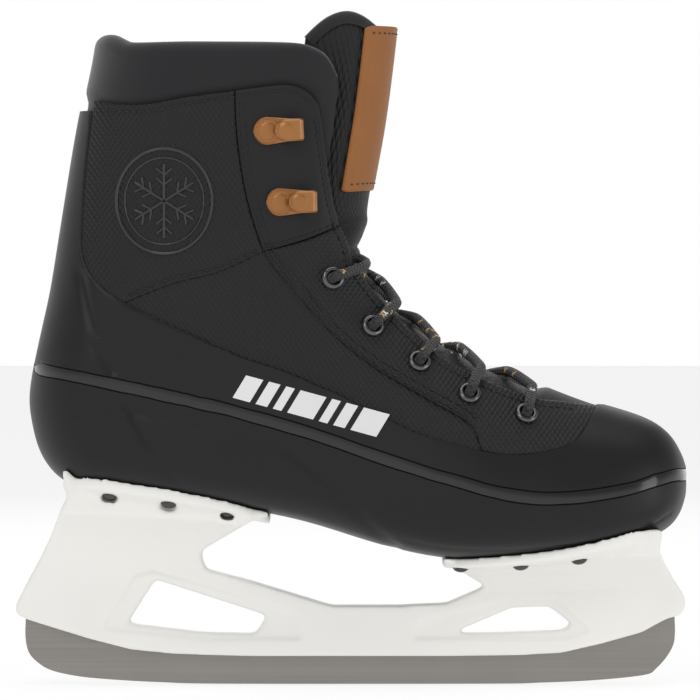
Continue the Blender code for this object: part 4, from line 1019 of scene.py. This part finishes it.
def tongueSpot(u, reach, depth):
    # A place on the tongue: station, distance round from its middle, height off its face.
    row, way, deep, line, run, half = tongueLine(u)
    at = min(abs(reach), run[-1])
    (p, q), (p2, q2), (p1, q1) = ([np.interp(reached, run, line[:, axis]) for axis in (0, 1)]
                                  for reached in (at, at + 0.4, max(at - 0.4, 0)))
    size = math.hypot(p2 - p1, q2 - q1)
    n = np.array([-(q2 - q1), p2 - p1]) / size if at > 0.05 else np.array([-1, 0.0])
    along = deep + p + n[0] * depth
    x = row[2] + way[0] * along
    return np.array([x, math.copysign(q + n[1] * depth, reach) + float(toeLean(x)), row[3] + way[1] * along])


def rimStation(share):
    # Station where the tongue ends, for a column at this share of its half width.
    rim = evenLine(tonguePlan["rim"], 200)
    low, high = 17.5, 20.0
    for halving in range(18):
        middle = (low + high) / 2
        place = tongueSpot(middle, share * tonguePlan["half"], 0)
        top = np.interp(-place[0], -rim[:, 0], rim[:, 1])
        if place[2] > top - 1.0:
            high = middle
        else:
            low = middle
    return low


shares = np.sin(np.linspace(-math.pi / 2, math.pi / 2, 53))
shares = np.sign(shares) * np.abs(shares)
rimEnds = np.array([rimStation(abs(s)) for s in shares])
stationsUp = np.linspace(0, 1, 96)
face, under, faceUv = [], [], []
for f in stationsUp:
    faceRow, underRow, uvRow = [], [], []
    for s, end in zip(shares, rimEnds):
        u = tonguePlan["start"] + (end - tonguePlan["start"]) * f
        half = tongueLine(u)[5]
        edge = (1 - abs(s)) * half
        roll = roundOff(edge, tonguePlan["rimRoll"])
        tip = roundOff((1 - f) * tonguePlan["length"], tonguePlan["rimRoll"])
        puff = tonguePlan["puff"] * math.sin(math.pi * min(max((f - 0.45) / 0.5, 0), 1)) * (1 - s * s)
        thick = tonguePlan["thick"] * 0.5 * roll * tip
        faceRow.append(tongueSpot(u, s * half, -3.0 + thick + puff * 0.5))
        underRow.append(tongueSpot(u, s * half, -3.0 - thick))
        uvRow.append((s * half, f * tonguePlan["length"]))
    face.append(faceRow)
    under.append(underRow)
    faceUv.append(uvRow)
face, under, faceUv = np.array(face), np.array(under), np.array(faceUv)
ring = np.concatenate([face, under[:, ::-1][:, 1:]], axis=1)
ringUv = np.concatenate([faceUv, faceUv[:, ::-1][:, 1:]], axis=1)
tongue = sheetPiece("tongue_padded", ring, looks["hatch"], None, ringUv, weld=0.05, fillEnds=True, angle=60)
standFor(tongue, "upper_black", "tongue_lower", "tongue_upper", body=None)

# Binding tape round the tongue's rim.
rimRun = np.array([tongueSpot(end - 0.02, s * tonguePlan["half"], -3) for s, end in zip(shares[2:-2], rimEnds[2:-2])])
rimRun = evenLine(rimRun, 120)
bindRow, bindUv = [], []
for i, spot in enumerate(rimRun):
    back = rimRun[min(i + 1, 119)] - rimRun[max(i - 1, 0)]
    back /= np.linalg.norm(back)
    down = np.array([0.12, 0, -1.0]) - back * np.dot((0.12, 0, -1), back)
    down /= np.linalg.norm(down)
    across = np.cross(back, down)
    profile = [(4.6, 3.55), (1.6, 3.6), (-0.2, 2.6), (-1.1, 0), (-0.2, -2.6), (1.6, -3.6), (4.6, -3.55)]
    bindRow.append([spot + down * a + across * b for a, b in evenLine(profile, 17)])
    bindUv.append([(i * 1.2, k * 0.9) for k in range(17)])
binding = sheetPiece("tongue_binding", np.array(bindRow), looks["binding"], None, np.array(bindUv), angle=70)
standFor(binding, "trim_black", body="tongue_top")

# Label: tan leather laid over the tongue's front and sides, with a sewn groove all round and thread rows along its
# lower and upper edges.
labelPlan = {"rows": 58, "columns": 70, "tall": 70, "low": 17.2, "high": 19.45, "half": 26.5, "lift": 0.35,
             "thick": 1.3, "stitchLength": 2.2, "stitchThick": 0.72, "stitchPitch": 3.3}
rows, columns, tall = labelPlan["rows"], labelPlan["columns"], labelPlan["tall"]
grid = np.zeros((rows, columns, 3))
labelUv = np.zeros((rows, columns, 2))
for i in range(rows):
    for j in range(columns):
        a, b = i / (rows - 1), 2 * j / (columns - 1) - 1
        a = 0.5 - 0.5 * math.cos(math.pi * a) * (1 - 0.35 * math.sin(math.pi * a) ** 2)
        b = math.sin(b * math.pi / 2)
        corner = max(abs(b) - 0.86, 0) / 0.14
        reach = b * labelPlan["half"]
        u = labelPlan["low"] + (labelPlan["high"] - labelPlan["low"]) * (0.5 + (a - 0.5) * (1 - 0.035 * corner ** 2))
        edge = min(labelPlan["half"] - abs(reach), a * tall, (1 - a) * tall)
        roll = 0.9 * (1 - roundOff(edge, 1.2))
        sew = 0.22 * math.exp(-((edge - 2.8) / 0.7) ** 2)
        grid[i, j] = tongueSpot(u, reach, labelPlan["lift"] + 1.5 - roll - sew)
        labelUv[i, j] = (reach, a * tall)
label = sheetPiece("tongue_label_leather", grid, looks["tanLeather"], grid - grid.mean(axis=(0, 1)) + (60, 0, 0),
                   labelUv, wall=labelPlan["thick"])
standFor(label, "tan_leather", "tongue_label", body="tongue_top")
bm = bmesh.new()
spanU = labelPlan["high"] - labelPlan["low"]
for u in (labelPlan["low"] + spanU * 0.045, labelPlan["high"] - spanU * 0.045):
    places = np.array([tongueSpot(u, t * 23.6, labelPlan["lift"] + 1.42) for t in np.linspace(-1, 1, 200)])
    length = np.linalg.norm(np.diff(places, axis=0), axis=1).sum()
    places = evenLine(places, 2 * int(length / labelPlan["stitchPitch"]) + 1, False)
    for k in range(len(places) // 2):
        start, middle, stop = (Vector(p) for p in places[2 * k:2 * k + 3])
        out = (middle - Vector((-45, 0, middle.z))).normalized()
        addThread(bm, frameAt(middle, out, stop - start), labelPlan["stitchLength"], labelPlan["stitchThick"])
labelStitches = finishPiece("label_stitches", bm, looks["thread"], True, 0)
standFor(labelStitches, "trim_black", body="tongue_top")
print("tongue and label ready")

# Collar: padded roll swept round the heel, over the rim and down inside, tucked behind the cuff.
collarPlan = {"tucked": -3.2, "out": -0.8, "inside": -12.6,
              "top": [(-122.5, 283), (-119.5, 286.5), (-115.5, 289), (-110.5, 289), (-104.5, 286.4),
                      (-99, 285), (-80, 284.6), (-60, 284.5), (-36, 284.3), (-22, 283.6), (-14, 281.2),
                      (-9, 277.4), (-5.4, 270)],
              "front": [(-5.4, 271), (-5.2, 262), (-5.8, 250), (-8, 236), (-10.5, 226), (-14, 213)]}
collarTop = evenLine(collarPlan["top"], 300)
collarFront = evenLine(collarPlan["front"], 200)[::-1]
cuffEdge = evenLine(lines["cuffTop"], 300)


def shaftSpot(z, seat, side):
    # Surface place at a height on the shaft, at a position round the ring from the back.
    k = min(int(seat), ringCount - 2)
    f = seat - k
    spots = sides[side][0][300:, k] * (1 - f) + sides[side][0][300:, k + 1] * f
    outs = sides[side][1][300:, k] * (1 - f) + sides[side][1][300:, k + 1] * f
    place = np.array([np.interp(z, spots[:, 2], spots[:, axis]) for axis in range(3)])
    out = np.array([np.interp(z, spots[:, 2], outs[:, axis]) for axis in range(3)])
    return place, out / np.linalg.norm(out)


def frontSeat(z):
    x = np.interp(z, collarFront[:, 1], collarFront[:, 0])
    xs = [shaftSpot(z, seat, -1)[0][0] for seat in range(60, ringCount, 4)]
    return float(np.interp(x, xs, range(60, ringCount, 4)))


heights = np.linspace(205, 292, 30)
seatTable = np.array([frontSeat(z) for z in heights])


def collarSpot(c, z, side):
    return shaftSpot(z, c * float(np.interp(z, heights, seatTable)), side)


def collarColumn(c, side):
    low, high = 262, 291.0
    for halving in range(14):
        middle = (low + high) / 2
        x = collarSpot(c, middle, -1)[0][0]
        low, high = (middle, high) if middle < levelAt(collarTop, x) else (low, middle)
    top = low
    bottom = 244.0 - 30.0 * float(easeStep((c - 0.8) / 0.14))
    thin = 1 - 0.5 * float(easeStep((c - 0.7) / 0.25))
    thin *= math.sqrt(max(1 - (1 - min((1.006 - c) / 0.035, 1)) ** 2, 0.02))
    radius = (collarPlan["out"] - collarPlan["inside"]) / 2 * thin
    row = []
    for z in np.linspace(bottom, top - radius, 22):
        place, out = collarSpot(c, z, side)
        gap = z - levelAt(cuffEdge, place[0])
        swell = collarPlan["tucked"] + (collarPlan["out"] - collarPlan["tucked"]) * float(easeStep((gap + 0.5) / 6))
        row.append(place + out * swell)
    middle = collarPlan["out"] - radius
    for t in np.linspace(0, math.pi, 15)[1:-1]:
        place, out = collarSpot(c, top - radius + radius * math.sin(t), side)
        row.append(place + out * (middle + radius * math.cos(t)))
    for z in np.linspace(top - radius, bottom, 12):
        place, out = collarSpot(c, z, side)
        row.append(place + out * (middle - radius - 0.5 * math.sin((z - bottom) * 0.09)))
    row = np.array(row + [row[0]])
    run = travelled(row)
    return row, np.stack([np.full(len(row), side * c * 150), run], axis=1)


around = np.concatenate([np.linspace(0, 0.93, 60), np.linspace(0.94, 1, 10)])
columns = [collarColumn(c, -1) for c in around[::-1]] + [collarColumn(c, 1) for c in around[1:]]
collar = sheetPiece("collar_padded", np.array([row for row, _ in columns]), looks["collar"], None,
                    np.array([uv for _, uv in columns]), weld=0.01, fillEnds=True, angle=70)
step = collar.modifiers.new("round", "SMOOTH")
step.factor, step.iterations = 0.5, 2
bake(collar, 70)
standFor(collar, "collar_black", "collar_pad")
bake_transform(tongue)
print("collar ready")

# Hooks: a riveted strap whose round nose folds back over the lace.
hookPlan = {"spots": [(-25.8, 246, 0.05), (-20.3, 214.5, 0.02)], "half": 4.8, "wall": 1.25, "disc": 6.1, "back": -10.9}


def makeHook(name, place):
    fold = [(-17, 0.65), (-9, 0.65), (-2, 0.65), (1.4, 1), (3.6, 2.2), (4.5, 4), (3.9, 5.6), (2, 6.5),
            (-0.5, 6.8), (-4, 6.5), (-7.4, 5.9)]
    line = evenLine(fold, 64)
    run = travelled(line)
    ahead = unitRows(np.gradient(line, axis=0))
    out = np.stack([-ahead[:, 1], ahead[:, 0]], axis=1)
    grid = []
    for spot, way, travel in zip(line, out, run):
        half = hookPlan["half"]
        if travel < 12:  # round plate under the rivet
            disc = hookPlan["disc"] ** 2 - (spot[0] - hookPlan["back"]) ** 2
            half = max(math.sqrt(max(disc, 0)), 0.4)
        if travel < run[-1] - 9 and spot[0] > hookPlan["back"]:
            half = hookPlan["half"] + (hookPlan["disc"] - hookPlan["half"]) * min(max(-spot[0] / 10.9, 0), 1)
        left = run[-1] - travel
        if left < half:  # round end of the leaf over the plate
            half = math.sqrt(max(half ** 2 - (half - left) ** 2, 0.15))
        row = []
        for turn in (1, -1):
            for t in np.linspace(-turn, turn, 15)[:-1]:
                edge = math.sqrt(max(1 - (max(abs(t) - 0.82, 0) / 0.18) ** 2, 0)) * hookPlan["wall"] / 2 * turn
                row.append((spot[0] + way[0] * edge, half * t, spot[1] + way[1] * edge))
        grid.append(row + [row[0]])
    strap = sheetPiece("strap", np.array(grid), looks["tanMetal"], None, weld=0.02, fillEnds=True, angle=50)
    strap.data.transform(place)
    seat = place @ Matrix.Translation((hookPlan["back"] * mm, 0, 0))
    dome = spinPiece("dome", [(0, 1.95), (1.6, 1.9), (3.2, 1.7), (3.9, 1.45), (4.1, 1.15), (0, 1.15)], 32, seat,
                     looks["tanMetal"])
    rim = spinPiece("rim", [(5, 1.15), (5.2, 1.5), (5.6, 1.5), (5.85, 1.15)], 36, seat, looks["tanMetal"])
    leaf = place @ Matrix.Translation((-2.6 * mm, 0, 6.0 * mm))
    boss = spinPiece("boss", [(0, 1.75), (1.8, 1.7), (3.2, 1.5), (3.7, 1.2), (3.8, 0.9), (0, 0.9)], 32, leaf,
                     looks["tanMetal"])
    return joinPieces(name, [strap, dome, rim, boss])


for side, word in sideWords.items():
    for number, (x, z, lean) in enumerate(hookPlan["spots"], 1):
        nose, noseOut = (Vector(v) for v in sideSpot(x, z, side))
        heel, heelOut = (Vector(v) for v in sideSpot(x - 17, z - 17.0 * math.sin(lean), side))
        hook = makeHook("lace_hook_%s_%d_folded" % (word, number),
                        frameAt(nose, noseOut + heelOut, nose - heel))
        standFor(hook, "tan_metal", "lace_hook_%s_%d" % (word, number))
print("hooks ready")


# Blade holder: moulded towers and bridge under the sole, with bevelled windows and raised rails.
holderPlan = {"voxel": 0.88, "soleGap": 0.5, "flange": 4.0}
holderOutline = [(-127.5, 96), (-125.5, 84), (-128, 79), (-133.5, 65.5), (-139, 54.5),
                 (-143.5, 46.5), (-149.5, 34.5), (-148.5, 31), (-144.5, 29), (-133.5, 25.5),
                 (-115.5, 20), (-98, 15.5), (-78, 13.5), (-44.5, 12.5), (44.5, 12.5), (75.5, 13),
                 (93.5, 14), (111, 18), (129, 23), (140, 29), (147, 31), (149, 36),
                 (147.5, 40.5), (143.5, 46.5), (139.5, 53), (136, 60), (137, 70), (60, 72),
                 (41, 68), (40.5, 56), (60, 43.5), (42.5, 36), (22, 35), (-9, 35),
                 (-20.5, 38.5), (-45, 46), (-64.5, 51), (-66.5, 56.5), (-66, 60), (-54.5, 67),
                 (-42.5, 74.5), (-36, 76), (-37, 88), (-80, 98)]
windows = {"rear": [(-99.5, 27), (-87, 46.5), (-37.5, 30.5), (-42.5, 22.5), (-66.5, 23)],
           "front": [(44.5, 22.5), (71.5, 34), (88, 34.5), (98, 27), (94.5, 24), (71.5, 23)]}
recesses = [[(-111, 24.5), (-96, 48.5), (-88, 50.5), (-24, 32), (-21, 20), (-64, 19.5)],
            [(27, 20), (30, 28.5), (71, 38.5), (91, 38.5), (107, 23.5), (95, 19.8)]]
hips = [(-160, (6.5, 6.5, 10, 18, 27), (8, 42, 58, 70, 79)),
        (-60, (6.5, 6.5, 9, 15, 25), (8, 42, 56, 66, 74)),
        (30, (6.5, 6.5, 9, 18, 30), (8, 38, 46, 51, 56)),
        (160, (6.5, 6.5, 11, 20, 30), (8, 38, 48, 54, 59))]
flangePlans = [([(-127.5, 17), (-121, 26), (-108, 31), (-70, 30.5), (-45, 27), (-36, 18)], 55, 104),
               ([(40.5, 18), (47, 31), (62, 36.5), (90, 38.5), (112, 37), (128, 31), (137.5, 19)],
                45, 80)]
rivetSpots = [("heel_1", -106, 23), ("heel_2", -80, 24), ("heel_3", -54, 21.5),
              ("toe_1", 48.5, 25), ("toe_2", 74.5, 30), ("toe_3", 100, 31), ("toe_4", 126, 22.5)]
runnerOutline = [(-144.8, 30), (-145, 21), (-143.5, 14), (-139.5, 9.5), (-133.5, 6), (-122, 3.4),
                 (-107, 1.9), (-85, 0.7), (-55, 0), (60, 0), (85, 0.5), (110, 1.7), (131, 4),
                 (136, 7), (140.5, 12), (143.5, 17.5), (144.2, 23), (144, 30)]
runnerTop = [(137, 33.5), (124, 33.5), (120, 38), (109, 38), (103.5, 19), (-102, 19),
             (-106.5, 40), (-117.5, 40), (-123, 35), (-138, 35)]


def slabPiece(outline, low, high, axis="y", name="slab"):
    # Flat outline drawn out to a slab between two levels.
    bm = bmesh.new()
    seat = (lambda a, b, c: (a * mm, c * mm, b * mm)) if axis == "y" else (lambda a, b, c: (a * mm, b * mm, c * mm))
    verts = [bm.verts.new(seat(a, b, low)) for a, b in outline]
    face = bm.faces.new(verts)
    grown = bmesh.ops.extrude_face_region(bm, geom=[face])
    shift = (0, (high - low) * mm, 0) if axis == "y" else (0, 0, (high - low) * mm)
    bmesh.ops.translate(bm, verts=[v for v in grown["geom"] if isinstance(v, bmesh.types.BMVert)], vec=shift)
    bmesh.ops.recalc_face_normals(bm, faces=bm.faces)
    return finishPiece(name, bm, None, False, 0)


def combine(piece, tool, operation):
    step = piece.modifiers.new("combine", "BOOLEAN")
    step.operation = operation
    step.solver = "EXACT"
    step.object = tool
    bake(piece, 0)
    bpy.data.objects.remove(tool, do_unlink=True)


def bootBlock(depth):
    # The boot's whole body grown by a depth, for fitting the holder to the sole.
    grids = []
    for side in (-1, 1):
        spots, outs = sides[side]
        grids.append(sheetPiece("block", (spots + outs * depth)[:380:5, ::4], None, outs[:380:5, ::4]))
    bm = bmesh.new()
    for piece in grids:
        bm.from_mesh(piece.data)
        bpy.data.objects.remove(piece, do_unlink=True)
    bmesh.ops.remove_doubles(bm, verts=bm.verts, dist=0.0009)
    bmesh.ops.holes_fill(bm, edges=[e for e in bm.edges if e.is_boundary], sides=0)
    bmesh.ops.recalc_face_normals(bm, faces=bm.faces)
    return finishPiece("bootBlock", bm, None, False, 0)


def soleSpot(x, y):
    hit = bootTree.ray_cast(Vector((x, y, 20)), Vector((0, 0, 1)))
    return placeOn(hit, 0)


holder = slabPiece(evenLine(holderOutline + holderOutline[:1], 420, False)[:-1], -60, 60, name="blade_holder_moulded")
rings = []
for x, widths, heights in hips:
    half = evenLine(list(zip(widths, heights)), 14)
    outline = list(half) + [np.array([widths[-1], 110.0])]
    outline += [np.array([-y, z]) for y, z in reversed(outline)]
    rings.append([(x, y, z) for y, z in outline] + [(x, outline[0][0], outline[0][1])])
hipBlock = sheetPiece("hipBlock", np.array(rings), None, None, weld=0.01, fillEnds=True)
combine(holder, hipBlock, "INTERSECT")
for outline in recesses:
    for low in (-11.5, 4.9):
        combine(holder, slabPiece(outline, low, low + 6.6), "DIFFERENCE")
for outline in windows.values():
    table = np.array(outline)
    around = np.vstack([table, table[:1]])
    corners = evenLine(around, 160, False)[:-1]
    for turn in range(5):
        corners = (np.roll(corners, 1, axis=0) + 2 * corners + np.roll(corners, -1, axis=0)) / 4
    combine(holder, slabPiece(corners, -60, 60), "DIFFERENCE")
    centre = corners.mean(axis=0)
    wide = centre + (corners - centre) * 1.1
    for side in (-1, 1):
        bevel = np.array([[(x, side * level, z) for x, z in np.vstack([line, line[:1]])]
                          for level, line in ((3.4, corners), (6.4, wide))])
        combine(holder, sheetPiece("bevel", bevel, None, None, weld=0.01, fillEnds=True), "DIFFERENCE")
for outline, low, high in flangePlans:
    line = evenLine(outline, 60)
    flange = slabPiece([(x, -y) for x, y in line] + [(x, y) for x, y in line[::-1]], low, high, "z")
    combine(flange, bootBlock(holderPlan["soleGap"] + holderPlan["flange"]), "INTERSECT")
    combine(holder, flange, "UNION")
combine(holder, bootBlock(holderPlan["soleGap"]), "DIFFERENCE")
slot = np.array(runnerOutline + runnerTop)
combine(holder, slabPiece(slot + 0.35 * np.sign(slot - (0, 20)), -2.05, 2.05), "DIFFERENCE")
rivetPlaces = {}
for side, word in sideWords.items():
    for tag, x, y in rivetSpots:
        spot, out = soleSpot(x, side * y + float(toeLean(x)))
        rivetPlaces["rivet_%s_%s" % (word, tag)] = frameAt(spot, out)
        combine(holder, spinPiece("pocket", [(0, 6.8), (3.4, 6.8), (4, 4), (3.9, 3.8), (0, 3.8)], 24,
                                  frameAt(spot, out), None), "DIFFERENCE")
step = holder.modifiers.new("cells", "REMESH")
step.mode = "VOXEL"
step.voxel_size = holderPlan["voxel"] * mm
step = holder.modifiers.new("soften", "SMOOTH")
step.factor, step.iterations = 0.5, 9
bake(holder, 0)
holder.data.materials.clear()
holder.data.materials.append(looks["holder"])
for face in holder.data.polygons:
    face.use_smooth = True
standFor(holder, "holder_white", "blade_holder")
print("holder ready", len(holder.data.polygons))

# Runner with ground flanks and a softened top, and its fixings.
outline = list(evenLine(runnerOutline, 220)) + [np.array(p) for p in runnerTop]
runner = slabPiece(outline, -1.8, 1.8, name="runner_ground")
bm = bmesh.new()
bm.from_mesh(runner.data)
bmesh.ops.bevel(bm, geom=[e for e in bm.edges if abs(e.verts[0].co.y - e.verts[1].co.y) < 1e-6], offset=0.22 * mm,
                offset_type="OFFSET", segments=2, profile=0.5, affect="EDGES", material=-1, clamp_overlap=True)
bm.to_mesh(runner.data)
bm.free()
runner.data.materials.append(looks["steel"])
standFor(runner, "runner_steel", "runner")
for name, place in rivetPlaces.items():
    rivet = spinPiece(name + "_domed", [(0, 6), (1.3, 5.85), (2.5, 5.35), (3.2, 4.7), (3.5, 4.3), (1.9, 4.3),
                                        (1.9, -2.2), (2.6, -2.2), (2.5, -2.9), (0, -3)], 24, place, looks["rivet"])
    standFor(rivet, "rivet_steel", name)
print("runner and rivets ready")

# Inside of the boot: lining, board and footbed stay as built, with cloth and fibre finishes.
keptParts = {"lining": "lining", "footbed": "lining", "insole_board": "board", "runner_bolt_rear": "bolt",
             "runner_bolt_front": "bolt", "runner_nut_rear": "bolt", "runner_nut_front": "bolt"}
for name, look in keptParts.items():
    for slotSeat in bpy.data.objects[name].material_slots:
        slotSeat.material = looks[look]

# Printed slanted bars on the flank, and a moulded ring with a six-armed crystal at the ankle.
printPlan = {"from": (-52, 128.5), "to": (11, 111.5), "high": 11, "slant": 3.2,
             "bars": [(0, 0.12), (0.16, 0.24), (0.28, 0.34), (0.38, 0.56), (0.60, 0.66), (0.70, 0.78), (0.82, 1)]}
emblemPlan = {"centre": (-82, 214.7), "half": (21.8, 23.8), "rings": [(0.97, 0.75), (0.80, 0.4)], "arms": 6,
              "armThick": 0.7, "twigs": (0.3, 0.48), "twigThick": 0.55, "twigTurn": 0.9}
for side, word in sideWords.items():
    bars = []
    start, stop = np.array(printPlan["from"]), np.array(printPlan["to"])
    along = stop - start
    upward = np.array([-along[1], along[0]]) / np.linalg.norm(along)
    lean = along / np.linalg.norm(along) * printPlan["slant"]
    for low, high in printPlan["bars"]:
        flat = np.array([[start + along * a + upward * printPlan["high"] * b + lean * b for b in np.linspace(0, 1, 9)]
                         for a in np.linspace(low, high, max(4, int((high - low) * 45)))])
        spots, outs = layFlat(flat, side, np.full(flat.shape[:2], 0.14))
        bars.append(sheetPiece("bar", spots, looks["print"], outs, flat, wall=0.1))
    bars = joinPieces("flank_print_" + word, bars)
    standFor(bars, "holder_white")

    centre, half = np.array(emblemPlan["centre"]), np.array(emblemPlan["half"])
    t = np.linspace(0, 2 * math.pi, 97)
    strokes = [(centre + half * grow * np.stack([np.cos(t), np.sin(t)], axis=1), radius)
               for grow, radius in emblemPlan["rings"]]
    for k in range(emblemPlan["arms"]):
        angle = math.pi * k / 3 + math.pi / 6
        way = np.array((math.cos(angle), math.sin(angle)))
        strokes.append((centre + np.linspace(0.03, 0.68, 12)[:, None] * way * half, emblemPlan["armThick"]))
        for reach in emblemPlan["twigs"]:
            for turn in (-emblemPlan["twigTurn"], emblemPlan["twigTurn"]):
                twig = way * math.cos(turn) + math.sin(turn) * np.array((-way[1], way[0]))
                line = centre + reach * way * half + np.linspace(0, 0.2, 5)[:, None] * twig * half
                strokes.append((line, emblemPlan["twigThick"]))
    pieces = []
    for line, radius in strokes:
        spots = np.array([sideSpot(x, z, side, upperPlan["overlay"] + 0.12)[0] for x, z in line])
        grid, uvs = tubeGrid(spots, radius, 8)
        pieces.append(sheetPiece("stroke", grid, looks["emblem"], None, uvs, weld=0.01, fillEnds=True))
    emblem = joinPieces("ankle_emblem_" + word, pieces)
    standFor(emblem, "gloss_black")
print("trim ready")
